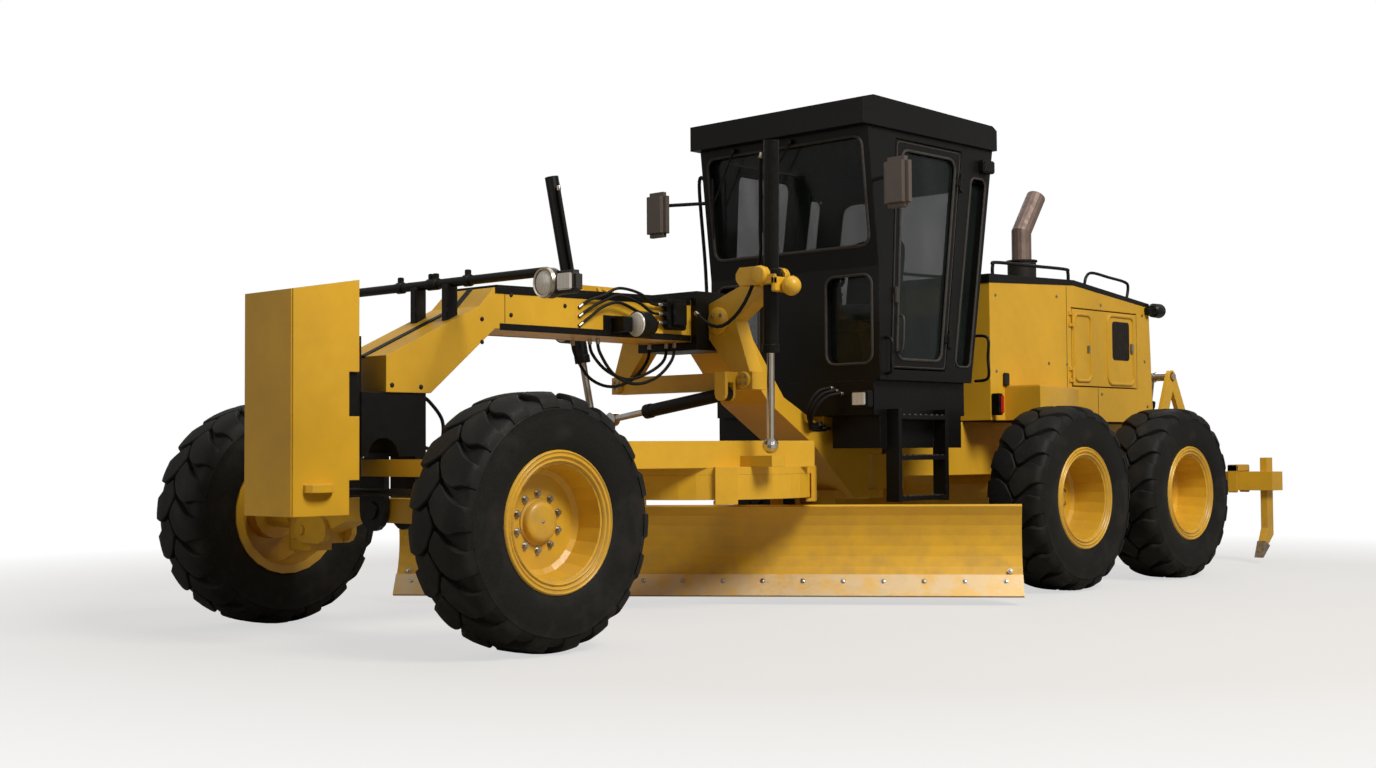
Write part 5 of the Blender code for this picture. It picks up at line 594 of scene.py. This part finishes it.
cover_bolts = []
for y, z in COVER_BOLTS:
    for side in (1, -1):
        cover_bolts += bolt((side * (NECK_HALF + 0.001), y, z), (side, 0, 0), 0.009, 0.007)
piece("cover_bolts", "root", DARK_IRON, cover_bolts)
piece("cover_seams", "root", DARK_IRON,
      [sided(side, plate(on_x(1, NECK_HALF), COVER_SEAM, 0.0003, 0.0010)) for side in (1, -1)])

# Y and Z of the bar; X, Y and Z of the lamps
LAMP_BAR = (0.300, 1.925)
BAR_HALF = 0.930
HEAD_LAMP = (1.010, 0.222, 1.858)
SIDE_LAMP = (0.330, 1.560, 1.745)
bar = [tube([(-BAR_HALF, *LAMP_BAR), (BAR_HALF, *LAMP_BAR)], 0.026, 20)]
posts = []
for side in (1, -1):
    posts.append(slab(x_pair(side, 0.115, 0.165), (0.262, 0.338), (1.700, 1.915), 0.004))
    for x in (0.02, 0.30):
        posts.append(lathe((side * x, *LAMP_BAR), (1, 0, 0), [(-0.022, 0.033), (0.022, 0.033)], 20))
        posts.append(slab((side * x - 0.014, side * x + 0.014), (0.285, 0.315), (1.950, 1.985), 0.004))
piece("lamp_bar", "root", BLACK, bar + posts)
housings, rims, glasses = [], [], []
for side in (1, -1):
    lamp = (side * HEAD_LAMP[0], *HEAD_LAMP[1:])
    housings.append(lathe(lamp, (0, 1, 0), [(0, 0.078), (0.055, 0.080), (0.105, 0.062), (0.130, 0.030)], 36))
    housings.append(slab(x_pair(side, 1.040, 1.215), (0.232, 0.318), (1.795, 1.915), 0.022, 3))
    rims.append(lathe(lamp, (0, 1, 0), [(-0.010, 0.066), (-0.012, 0.076), (0.006, 0.082), (0.006, 0.066)],
                      36, closed=True))
    glasses.append(lathe(lamp, (0, -1, 0), [(-0.004, 0.066), (0.004, 0.064), (0.014, 0.048),
                                            (0.018, 0.020), (0.0185, 0.002)], 36))
    glasses.append(slab(x_pair(side, 1.095, 1.203), (0.226, 0.240), (1.812, 1.898), 0.006))
piece("head_lamp_housings", "root", PLASTIC, housings)
piece("head_lamp_rims", "root", STEEL, rims)
piece("head_lamp_glasses", "root", CLEAR, glasses)

brackets, side_lamps, side_glasses, reflectors = [], [], [], []
for side in (1, -1):
    brackets.append(slab(x_pair(side, 0.212, 0.330), (1.455, 1.530), (1.700, 1.790), 0.004))
    brackets.append(slab(x_pair(side, 0.211, 0.219), (1.400, 1.830), (1.680, 1.800), 0.002))
    lamp = (side * SIDE_LAMP[0], *SIDE_LAMP[1:])
    side_lamps.append(lathe(lamp, (0, 1, 0), [(0, 0.080), (0.080, 0.082), (0.130, 0.055), (0.150, 0.020)]))
    side_glasses.append(lathe(lamp, (0, -1, 0), [(0.0004, 0.074), (0.008, 0.070), (0.016, 0.040),
                                                 (0.018, 0.002)]))
    reflectors.append(slab(x_pair(side, 0.2195, 0.226), (1.735, 1.815), (1.715, 1.765), 0.002))
piece("side_lamp_brackets", "root", BLACK, brackets)
piece("side_lamps", "root", BLACK, side_lamps)
piece("side_lamp_glasses", "root", CLEAR, side_glasses)
piece("side_reflectors", "root", AMBER, reflectors)

# Lift arms: caps, bosses and the valve on the neck
LIFT_BALL = Vector((0.765, 2.270, 1.020))
LIFT_TOP = Vector((0.973, 2.058, 2.833))
TRUNNION = LIFT_BALL.lerp(LIFT_TOP, 0.560)
FORK_OUT = 0.098        # the fork's outside, from the trunnion's middle
TRUNNION_CAP = ((0, 0.056), (0.016, 0.054), (0.024, 0.046), (0.026, 0.020), (0.0262, 0.001))
KNOB = [(-0.058 * math.cos(t), 0.0585 * math.sin(t) + 0.001) for t in (math.pi * i / 14 for i in range(15))]
ARM_Y = 2.330
BOSSES = ((0.556, 1.424, 0.052), (0.345, 1.800, 0.085))     # X, Z, radius
BOSS_BOLTS = 4
BOLT_SHARE = 0.55
castings = []
cap_bolts = []
for side in (1, -1):
    for way in (-1, 1):
        face = (side * TRUNNION.x, TRUNNION.y + way * (FORK_OUT + 0.0005), TRUNNION.z)
        castings.append(lathe(face, (0, way, 0), TRUNNION_CAP))
    castings.append(lathe((side * 1.040, TRUNNION.y, 1.965), (side, 0, -0.25), KNOB))
    castings.append(slab(x_pair(side, 0.962, 0.992), (TRUNNION.y - FORK_OUT, TRUNNION.y + FORK_OUT),
                         (1.930, 2.020), 0.006))
    for way in (-1, 1):
        y = sorted((TRUNNION.y + way * 0.072, TRUNNION.y + way * FORK_OUT))
        castings.append(slab(x_pair(side, 0.890, 0.992), y, (1.975, 2.035), 0.006))
    for x, z, radius in BOSSES:
        for way in (-1, 1):
            castings.append(lathe((side * x, ARM_Y + way * 0.0605, z), (0, way, 0),
                                  [(0, radius), (0.012, radius), (0.020, radius * 0.86), (0.021, 0.001)]))
            for t in turns(BOSS_BOLTS):
                reach = radius * BOLT_SHARE
                cap_bolts += bolt((side * x + reach * math.cos(t), ARM_Y + way * 0.081,
                                   z + reach * math.sin(t)), (0, way, 0), 0.009, 0.008)
piece("arm_castings", "root", YELLOW, castings)
piece("arm_cap_bolts", "root", STEEL, cap_bolts)
VALVE_PORTS = (1.775, 1.830, 1.885)     # Z
valve = [slab((0.2115, 0.262), (1.905, 2.070), (1.735, 1.925), 0.008),
         slab((0.262, 0.290), (1.930, 2.045), (1.760, 1.900), 0.006)]
for z in VALVE_PORTS:
    valve.append(lathe((0.236, 1.905, z), (0, -1, 0), [(0, 0.019), (0.026, 0.019), (0.030, 0.014)], 6))
piece("neck_valve", "root", BLACK, valve)

# Blade: edge bolts
CIRCLE_Y = 2.470
BLADE_ANGLE = 37.1
EDGE_BOLTS = 16
EDGE_BOLT_STEP = 0.258
END_BOLT_X = 1.965
BLADE_TURN = Matrix.Translation((0, CIRCLE_Y, 0)) @ Matrix.Rotation(math.radians(BLADE_ANGLE), 4, "Z")
edge_bolts = []
for i in range(EDGE_BOLTS):
    x = EDGE_BOLT_STEP * (i - (EDGE_BOLTS - 1) / 2)
    edge_bolts += bolt((x, 0.0552, 0.1490), (0, -0.848, 0.530), 0.0125, 0.008)
for side in (1, -1):
    edge_bolts += bolt((side * END_BOLT_X, 0.0980, 0.2120), (0, -0.90, 0.42), 0.0125, 0.008)
for shape in edge_bolts:
    shape.transform(BLADE_TURN)
piece("edge_bolts", "moldboard", STEEL, edge_bolts)

# Ripper: wear caps on the teeth, and pockets round the beam
TOOTH_CAP = ((8.3845, 0.190), (8.3220, 0.052), (8.3440, 0.050), (8.4780, 0.150))
POCKET_SIDES = (((8.6004, 8.6200), (0.600, 0.840)), ((8.3800, 8.3996), (0.600, 0.840)),
                ((8.3800, 8.6200), (0.7804, 0.8400)))     # Y and Z
piece("tooth_caps", "ripper", STEEL,
      [plate(lambda a, b, depth, x=x: (x + depth, a, b), TOOTH_CAP, -0.036, 0.036) for x in (-1, 0, 1)])
piece("shank_pockets", "ripper", YELLOW, [slab((x - 0.045, x + 0.045), y, z, 0.006)
                                          for x in (-0.75, -0.25, 0.25, 0.75) for y, z in POCKET_SIDES])


# Cab: gaskets, handles, wipers, mirror covers, lamp and treads
CAB_HALF = 0.750
CAB_FRONT_Y = 3.390
CAB_BEND_Z = 2.200
CAB_LEAN = 0.105 / 0.920
CAB_DOOR = ((3.510, 1.530), (3.600, 3.060), (4.350, 3.060), (4.125, 1.530))     # Y, Z
QUARTER = ((4.240, 1.560), (4.4705, 2.900), (4.6505, 2.900), (4.4200, 1.560))
GRIP = ((0.748, 3.580, 1.640), (0.790, 3.583, 1.655), (0.796, 3.592, 1.760), (0.790, 3.600, 1.865),
        (0.748, 3.603, 1.880))
SIDE_HANDLES = ((3.455, 0.7505, 1.490, 1.730), (4.575, 0.690, 1.470, 1.790))     # Y, foot's X, low Z, high Z
HANDLE_REACH = 0.800
FRONT_RAIL = ((-0.7505, 3.440, 1.620), (-0.815, 3.440, 1.640), (-0.815, 3.400, 2.300),
              (-0.815, 3.340, 2.900), (-0.7505, 3.340, 2.920))
WIPERS = ((0.10, -0.30), (-0.42, -0.24))     # X, lean
STEPS_Z = (0.650, 0.920, 1.190)


def cab_front(z):
    """Y of the cab's front, which leans above its bend."""
    return CAB_FRONT_Y if z <= CAB_BEND_Z else CAB_FRONT_Y - CAB_LEAN * (z - CAB_BEND_Z)


def on_front(a, b, depth):
    """Place for outlines (X, Z) on the cab's front; depth goes outwards."""
    return a, cab_front(b) - depth, b


def inset(outline, distance):
    """Convex outline moved inwards."""
    points = [Vector(p) for p in outline]
    area = sum(a.x * b.y - b.x * a.y for a, b in zip(points, points[1:] + points[:1]))
    turn = 1 if area > 0 else -1
    made = []
    for i, point in enumerate(points):
        before = (point - points[i - 1]).normalized()
        after = (points[(i + 1) % len(points)] - point).normalized()
        n1 = Vector((-before.y, before.x)) * turn
        n2 = Vector((-after.y, after.x)) * turn
        made.append(tuple(point + (n1 + n2) * distance / (1 + n1.dot(n2))))
    return made


def ring_on(place, outline, radius):
    """Gasket tube along a closed outline."""
    points = [Vector(place(a, b, 0)) for a, b in outline]
    route = []
    for a, b in zip(points, points[1:] + points[:1]):
        steps = max(1, int((b - a).length / 0.06))
        route += [a.lerp(b, k / steps) for k in range(steps)]
    return tube(route, radius, 8, closed=True)


gaskets = [ring_on(on_front, rounded(box_outline((-0.690, 0.690), (2.340, 3.060)), 0.070), 0.011)]
for side in (1, -1):
    x = x_pair(side, 0.300, 0.690)
    gaskets.append(ring_on(on_front, rounded(box_outline(x, (1.560, 2.150)), 0.070), 0.010))
    gaskets.append(ring_on(on_x(side, CAB_HALF), rounded(QUARTER, 0.050), 0.008))
piece("window_gaskets", "root", SEAL, gaskets)
for name, side in SIDES:
    pane = rounded(inset(CAB_DOOR, 0.060), 0.070)
    door_parts = [ring_on(on_x(side, CAB_HALF + 0.001), pane, 0.010),
                  ring_on(on_x(side, CAB_HALF - 0.0005), rounded(inset(CAB_DOOR, 0.010), 0.030), 0.004)]
    piece("door_gasket_" + name, "cab_door_" + name, SEAL, door_parts)
    grip = tube(smooth_route([(side * x, y, z) for x, y, z in GRIP], 5), 0.009, 10)
    latch = slab(x_pair(side, 0.7504, 0.775), (3.545, 3.575), (1.960, 2.070), 0.005)
    piece("door_grip_" + name, "cab_door_" + name, PLASTIC, [grip, latch])

trims = []
for side in (1, -1):
    for y, foot, low, high in SIDE_HANDLES:
        reach = side * HANDLE_REACH
        foot *= side
        trims.append(tube(smooth_route([(foot, y, low), (reach, y, low + 0.02), (reach, y, (low + high) / 2),
                                        (reach, y, high - 0.02), (foot, y, high)], 5), 0.011, 10))
    trims.append(slab(x_pair(side, 0.7505, 0.800), (4.560, 4.700), (2.945, 3.035), 0.008))
trims.append(tube(smooth_route(FRONT_RAIL, 8), 0.013, 12))
for x, lean in WIPERS:
    head = Vector((x, cab_front(3.085) - 0.020, 3.085))
    tip = Vector((x + lean, cab_front(2.72) - 0.020, 2.720))
    trims.append(tube([head, tip], 0.006, 8))
    low = Vector((tip.x - 0.02, cab_front(2.50) - 0.015, 2.500))
    high = Vector((tip.x + 0.02, cab_front(2.92) - 0.015, 2.920))
    trims.append(tube([low, high], 0.007, 8))
    trims.append(lathe(head, (0, 1, 0), [(-0.012, 0.018), (0.020, 0.018)], 16))
piece("cab_handles", "root", BLACK, trims)
piece("mirror_covers", "root", MIRROR_GREY,
      [slab(x_pair(side, 0.972, 1.168), (3.127, 3.2205), (2.527, 2.853), 0.030, 4) for side in (1, -1)])
piece("cab_lamp", "root", BLACK, [slab((0.575, 0.710), (3.300, 3.370), (1.268, 1.380), 0.008),
                                  slab((0.620, 0.665), (3.360, 3.3896), (1.300, 1.350), 0.003)])
piece("cab_lamp_glass", "root", CLEAR, [slab((0.590, 0.695), (3.292, 3.304), (1.283, 1.365), 0.004)])
piece("step_grips", "root", STEEL,
      [slab(x_pair(side, 0.706, 0.799), (y, y + 0.018), (z + 0.0302, z + 0.036))
       for side in (1, -1) for z in STEPS_Z for y in (3.575 + k * 0.062 for k in range(8))])


# Seat: crowned cushions with piping
CORNER_POWER = 0.32
CROWN_POWER = 0.72


def bent(value, power=CORNER_POWER):
    """Sine or cosine raised to a power, its sign kept: round at 1, square near 0."""
    return math.copysign(abs(value) ** power, value)


def cushion(centre, half, tilt, rows=28, columns=56):
    """Pillow with nearly flat faces and full corners."""
    shape = bmesh.new()
    turn = Matrix.Translation(centre) @ Matrix.Rotation(tilt, 4, "X")
    rings = []
    for i in range(1, rows):
        v = -math.pi / 2 + math.pi * i / rows
        ring = []
        for u in turns(columns, 0):
            x = half[0] * bent(math.cos(v)) * bent(math.cos(u))
            y = half[1] * bent(math.cos(v)) * bent(math.sin(u))
            z = half[2] * bent(math.sin(v), CROWN_POWER)
            ring.append(shape.verts.new(turn @ Vector((x, y, z))))
        rings.append(ring)
    skinned(shape, rings, capped=False)
    for ring, end in ((rings[0], -1), (rings[-1], 1)):
        pole = shape.verts.new(turn @ Vector((0, 0, end * half[2])))
        for k in range(columns):
            shape.faces.new((ring[k], ring[(k + 1) % columns], pole))
    return shape


def seam_round(centre, half, tilt, radius, count=72):
    """Piping round a cushion's middle."""
    turn = Matrix.Translation(centre) @ Matrix.Rotation(tilt, 4, "X")
    route = [turn @ Vector((half[0] * bent(math.cos(u)), half[1] * bent(math.sin(u)), 0))
             for u in turns(count)]
    return tube(route, radius, 6, closed=True)


BACK_TILT = math.radians(90 - 9.5)
# Name, centre, half sizes, tilt
CUSHIONS = (("seat_cushion", (0, 4.085, 1.952), (0.250, 0.232, 0.066), 0.0),
            ("seat_back", (0, 4.335, 2.235), (0.235, 0.285, 0.058), BACK_TILT))
for name, centre, half, tilt in CUSHIONS:
    pad = piece(name, "root", CLOTH, [cushion(centre, half, tilt)], 60)
    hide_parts("seat")
    piece(name + "_piping", "root", PLASTIC, [seam_round(centre, half, tilt, 0.005)], 60)
# Foot, post, pan, two arm rests, their posts, the bar that joins them: X, Y, Z, bevel
STAND = (((-0.170, 0.170), (3.960, 4.240), (1.5004, 1.560), 0.006),
         ((-0.130, 0.130), (3.990, 4.210), (1.560, 1.840), 0.010),
         ((-0.200, 0.200), (3.900, 4.300), (1.835, 1.892), 0.010),
         ((-0.300, -0.262), (4.020, 4.300), (2.110, 2.150), 0.012),
         ((0.262, 0.300), (4.020, 4.300), (2.110, 2.150), 0.012),
         ((-0.290, -0.268), (4.240, 4.290), (1.860, 2.115), 0.004),
         ((0.268, 0.290), (4.240, 4.290), (1.860, 2.115), 0.004),
         ((-0.292, 0.292), (4.240, 4.280), (1.850, 1.880), 0.004))
stand = piece("seat_stand", "root", PLASTIC, [slab(*part) for part in STAND])
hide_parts("seat")

# Engine end: black top, rails, panel frames, grille, latches, bolts, sleeve, boxes and lamps
HOOD_HALF = 0.550
HOOD_TOP = ((4.976, 2.208), (4.976, 2.274), (6.150, 2.304), (7.333, 2.184), (7.343, 2.150), (6.150, 2.262))
RAIL_X = 0.500
FRONT_HOOD_RAIL = ((5.100, 2.268), (5.105, 2.345), (5.150, 2.372), (5.650, 2.382), (6.110, 2.390),
                   (6.155, 2.370), (6.160, 2.298))
REAR_HOOD_RAIL = ((6.400, 2.272), (6.430, 2.350), (6.520, 2.390), (6.780, 2.372), (7.040, 2.350),
                  (7.090, 2.310), (7.060, 2.205))
PANELS = (((6.150, 6.400), (1.520, 2.040)), ((6.665, 7.070), (1.505, 2.055)))     # Y and Z
GRILLE = ((6.735, 7.000), (1.700, 2.010))
LOUVRES = 9
LOUVRE_STEP = 0.029
HOOD_BOLTS = ((5.060, 2.120), (5.060, 1.560), (5.900, 2.160), (5.900, 1.300), (6.040, 1.640),
              (5.780, 1.640), (7.220, 2.080), (7.250, 1.700), (7.290, 1.330), (6.560, 1.420), (6.560, 2.130))
HOOD_SEAMS = ((6.040, 1.215, 2.252), (6.5, 1.215, 1.466))     # Y, low Z, high Z
EXHAUST_FOOT = (0.180, 6.000, 2.268)
SLEEVE = ((0, 0.079), (0, 0.112), (0.190, 0.112), (0.194, 0.122), (0.206, 0.122), (0.210, 0.079))
FENDER_PLAN = ((0.5504, 5.170), (0.850, 5.170), (0.850, 5.300), (0.5504, 6.200))
FENDER_Z = (1.200, 1.455)
REAR_LAMP = (0.580, 7.335, 2.130)
piece("hood_top", "rear_frame", BLACK,
      [plate(lambda a, b, depth: (depth, a, b), HOOD_TOP, -HOOD_HALF - 0.003, HOOD_HALF + 0.003)])
piece("hood_rails", "rear_frame", BLACK,
      [tube(smooth_route([(side * RAIL_X, y, z) for y, z in line], 6), radius, 12) for side in (1, -1)
       for line, radius in ((FRONT_HOOD_RAIL, 0.013), (REAR_HOOD_RAIL, 0.012))])
for name, side in SIDES:
    place = on_x(side, HOOD_HALF)
    lines = [ring_on(place, rounded(box_outline(y, z), 0.055), 0.014) for y, z in PANELS]
    mesh = [plate(place, rounded(box_outline(*GRILLE), 0.030), 0.0004, 0.004)]
    mesh += [slab(x_pair(side, 0.5544, 0.5570), (y, y + 0.008), (1.712, 1.998))
             for y in (6.752 + k * LOUVRE_STEP for k in range(LOUVRES))]
    fittings = [slab(x_pair(side, 0.5504, 0.566), (7.015, 7.050), (1.760, 1.840), 0.004),
                slab(x_pair(side, 0.5504, 0.562), (6.345, 6.375), (1.740, 1.800), 0.004)]
    piece("panel_frames_" + name, "hood_door_" + name, YELLOW, lines)
    piece("grille_" + name, "hood_door_" + name, DARK_IRON, mesh)
    piece("panel_latches_" + name, "hood_door_" + name, STEEL, fittings)
hood_bolts, hood_seams = [], []
for side in (1, -1):
    for y, z in HOOD_BOLTS:
        hood_bolts += bolt((side * 0.5506, y, z), (side, 0, 0), 0.009, 0.006)
    for y, low, high in HOOD_SEAMS:
        hood_seams.append(slab(x_pair(side, 0.5503, 0.5512), (y, y + 0.005), (low, high)))
    hood_seams.append(slab(x_pair(side, 0.5504, 0.572), (5.140, 5.205), (1.455, 1.550), 0.006))
piece("hood_bolts", "rear_frame", STEEL, hood_bolts)
piece("exhaust_sleeve", "rear_frame", DARK_IRON, [lathe(EXHAUST_FOOT, (0, 0, 1), SLEEVE, 40, closed=True)])
fenders = [sided(side, plate(lambda a, b, depth: (a, b, depth), FENDER_PLAN, *FENDER_Z, 0.010))
           for side in (1, -1)]
piece("fender_boxes", "rear_frame", YELLOW, fenders)
piece("hood_seams", "rear_frame", DARK_IRON, hood_seams)
rear_lamps, rear_glasses, tail_lamps = [], [], []
for side in (1, -1):
    lamp = (side * REAR_LAMP[0], *REAR_LAMP[1:])
    glass_foot = (lamp[0], 7.4704, lamp[2])
    rear_lamps.append(slab(x_pair(side, 0.520, 0.600), (7.260, 7.345), (2.090, 2.150), 0.006))
    rear_lamps.append(lathe(lamp, (0, 1, 0), [(0, 0.040), (0.020, 0.058), (0.120, 0.060), (0.135, 0.055)]))
    rear_glasses.append(lathe(glass_foot, (0, 1, 0), [(0, 0.052), (0.012, 0.046), (0.020, 0.020),
                                                      (0.0204, 0.002)]))
    rear_lamps.append(slab(x_pair(side, 0.5504, 0.625), (4.985, 5.030), (1.235, 1.395), 0.006))
    tail_lamps.append(slab(x_pair(side, 0.6254, 0.642), (4.990, 5.025), (1.250, 1.380), 0.006))
piece("rear_lamps", "rear_frame", BLACK, rear_lamps)
piece("rear_lamp_glasses", "rear_frame", AMBER, rear_glasses)
piece("tail_lamps", "rear_frame", RED, tail_lamps)


# Hoses, each fixed at both ends
ROUTE_POINTS = 38


def hose(name, body, route, diameter, moving=None):
    """Hose along a smooth route, and its steel ends.

    moving is the body that its first end rides on, and two points, which are not used.
    """
    line = smooth_route(route, ROUTE_POINTS // (len(route) - 1))
    item = piece(name, None if moving else body, HOSE, [tube(line, diameter / 2, 12)], 60)
    ends = []
    for a, b in ((line[0], line[1]), (line[-1], line[-2])):
        way = (b - a).normalized()
        ends.append(lathe(a + way * 0.002, way, [(0, diameter * 0.66), (0.030, diameter * 0.66),
                                                 (0.034, diameter * 0.56)], 12))
    if moving:
        first_body, start, end = moving
        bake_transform(item)
        piece(name + "_head", first_body, STEEL, ends[:1])
        piece(name + "_end", body, STEEL, ends[1:])
    else:
        piece(name + "_ends", body, STEEL, ends)


HEAD_SHARES = (0.93, 0.86, 0.78, 0.70, 0.63)     # of the lift cylinder, ball to top
UNDER_HOSES = ((0.140, 1.400), (0.070, 1.430), (-0.080, 1.390))     # X, lowest Z
BOW = (3.345, 1.285, 0.118)     # middle's Y and Z, radius of the cab hoses' half turn
BOW_STEPS = 6
# Name, body, route, thickness, and what its first end moves with
HOSES = []
for name, side in SIDES:
    spine = [LIFT_BALL.lerp(LIFT_TOP, share) for share in HEAD_SHARES]
    run = [(side * (p.x - 0.068), p.y - 0.020, p.z) for p in spine]
    HOSES.append(("hose_lift_" + name, "root",
                  [(side * (spine[0].x - 0.058), spine[0].y - 0.017, spine[0].z + 0.060), *run,
                   (side * 0.775, 2.105, 1.985), (side * 0.680, 2.092, 1.835), (side * 0.540, 2.090, 1.750),
                   (side * 0.400, 2.110, 1.775), (side * 0.262, 2.150, 1.850)], 0.022,
                  ("lift_barrel_" + name, (side * 0.780, 2.105, 2.020), (side * 0.440, 2.105, 1.760))))
for k, (x, sag) in enumerate(UNDER_HOSES):
    HOSES.append(("hose_under_%d" % (k + 1), "root",
                  [(x, 1.420, 1.668), (x, 1.440, 1.580), (x, 1.560, sag + 0.050), (x, 1.740, sag),
                   (x, 1.930, sag + 0.050), (x, 2.060, 1.560), (x, 2.085, 1.668)], 0.020))
for k, z in enumerate(VALVE_PORTS):
    HOSES.append(("hose_neck_%d" % (k + 1), "root",
                  [(0.236, 1.874, z), (0.242, 1.780, z + 0.004), (0.258, 1.640 + 0.012 * k, z + 0.056),
                   (0.266, 1.480, z + 0.100 - 0.012 * k), (0.255, 1.360, z + 0.070 - 0.022 * k),
                   (0.232, 1.270, z + 0.004 - 0.004 * k), (0.213, 1.200, z - 0.052)], 0.018))
for k in range(3):
    x = 0.350 + 0.042 * k
    bow = [(x, 3.398, 1.403)]
    for i in range(BOW_STEPS + 1):
        turn = math.pi * i / BOW_STEPS
        bow.append((x + (0.212 - x) * i / BOW_STEPS, BOW[0] - BOW[2] * math.sin(turn),
                    BOW[1] + BOW[2] * math.cos(turn)))
    bow.append((0.212, 3.440 + 0.040 * k, 1.167))
    HOSES.append(("hose_cab_%d" % (k + 1), "root", [(a, b, c - 0.020 * k) for a, b, c in bow], 0.022))
for k, x in enumerate((0.110, -0.110)):
    HOSES.append(("hose_nose_%d" % (k + 1), "root",
                  [(x, 0.105, 1.308), (x, 0.180, 1.270), (x, 0.270, 1.170), (x * 1.1, 0.260, 1.060),
                   (x * 1.25, 0.180, 1.010), (x * 1.3, 0.092, 1.030)], 0.020))
for entry in HOSES:
    hose(*entry)


# Studio
SKY = (1.0, 0.97, 0.93, 1)
SKY_STRENGTH = 0.14
MIRROR_SHARE = 0.30      # of the white that glossy rays see
FLOOR_RADIUS = 60
FLOOR_COLOUR = (0.42, 0.38, 0.33, 1)     # what it throws back on the object
FADE = (5.0, 9.0)        # where the floor turns white to the camera
FADE_SHARE = (0.62, 1.0)
# Name, place, target, size, power, colour
LIGHTS = (("key", (11, -2.5, 11), (0, 0, 1.2), (5, 5), 2150, (1.0, 0.96, 0.89)),
          ("fill", (-3, -13, 5), (0, -1, 1.2), (7, 5), 170, (1.0, 0.95, 0.88)),
          ("back", (-8, 11, 8), (0, 0, 1.2), (8, 6), 500, (1, 1, 1)),
          ("top", (0, 0, 13), (0, 0, 0), (8, 8), 300, (1, 1, 1)))
SENSOR = 36.0
PHOTO_WIDTH = 1376
FOCAL_PIXELS = 1723.55
CAMERA_PLACE = (7.6115, -5.6644, 0.9914)
CAMERA_ANGLES = (43.5206, 2.2141, -0.3678)     # azimuth, pitch, roll


def area_light(name, place, target, size, power, colour):
    """Rectangular lamp that faces its target."""
    data = bpy.data.lights.new(name, "AREA")
    data.shape = "RECTANGLE"
    data.size = size[0]
    data.size_y = size[1]
    data.energy = power
    data.color = colour
    lamp = placed(name, data)
    lamp.location = place
    lamp.rotation_euler = (Vector(target) - Vector(place)).to_track_quat("-Z", "Y").to_euler()


def shown(nodes, share, low, high, output):
    """Leads the mix of two shader nodes to an output node."""
    mix = filled(nodes.new("ShaderNodeMixShader"), share, low.outputs[0], high.outputs[0])
    filled(nodes[output], Surface=mix.outputs["Shader"])


def studio():
    """Warm sky that is white to the camera, a pale floor and four soft lamps."""
    scene = bpy.context.scene
    scene.view_settings.view_transform = "Standard"
    world = bpy.data.worlds.new("studio")
    scene.world = world
    world.use_nodes = True
    nodes = world.node_tree.nodes
    back = filled(nodes["Background"], Color=SKY, Strength=SKY_STRENGTH)
    white = filled(nodes.new("ShaderNodeBackground"), Color=(1, 1, 1, 1), Strength=1.0)
    rays = nodes.new("ShaderNodeLightPath").outputs
    seen = filled(nodes.new("ShaderNodeMath"), rays["Is Camera Ray"], rays["Is Transmission Ray"])
    seen.operation = "MAXIMUM"
    mirror = filled(nodes.new("ShaderNodeMath"), rays["Is Glossy Ray"], MIRROR_SHARE, seen.outputs["Value"])
    mirror.operation = "MULTIPLY_ADD"
    shown(nodes, mirror.outputs["Value"], back, white, "World Output")

    shape = bmesh.new()
    bmesh.ops.create_circle(shape, cap_ends=True, segments=64, radius=FLOOR_RADIUS)
    mesh = bpy.data.meshes.new("studio_floor")
    shape.to_mesh(mesh)
    floor = placed("studio_floor", mesh)
    made, nodes, shader = material("studio_floor")
    filled(shader, Base_Color=FLOOR_COLOUR, Roughness=0.7, Specular_IOR_Level=0.2)
    glow = filled(nodes.new("ShaderNodeEmission"), Strength=1.0)
    reach = filled(nodes.new("ShaderNodeVectorMath"), nodes.new("ShaderNodeTexCoord").outputs["Object"])
    reach.operation = "LENGTH"
    far = spread(nodes, reach.outputs["Value"], FADE, FADE_SHARE)
    camera_ray = nodes.new("ShaderNodeLightPath").outputs["Is Camera Ray"]
    shown(nodes, multiplied(nodes, far, camera_ray), shader, glow, "Material Output")
    mesh.materials.append(made)

    for light in LIGHTS:
        area_light(*light)


def camera():
    """Camera fitted to the photo's view."""
    data = bpy.data.cameras.new("photo_camera")
    data.sensor_width = SENSOR
    data.lens = FOCAL_PIXELS * SENSOR / PHOTO_WIDTH
    data.clip_end = 200
    item = placed("photo_camera", data)
    azimuth, pitch, roll = (math.radians(a) for a in CAMERA_ANGLES)
    forward = Vector((-math.sin(azimuth) * math.cos(pitch), math.cos(azimuth) * math.cos(pitch),
                      math.sin(pitch)))
    turn = forward.to_track_quat("-Z", "Y").to_matrix().to_4x4()
    item.matrix_world = (Matrix.Translation(OFFSET + Vector(CAMERA_PLACE)) @ turn
                         @ Matrix.Rotation(roll, 4, "Z"))
    bpy.context.scene.camera = item


studio()
camera()
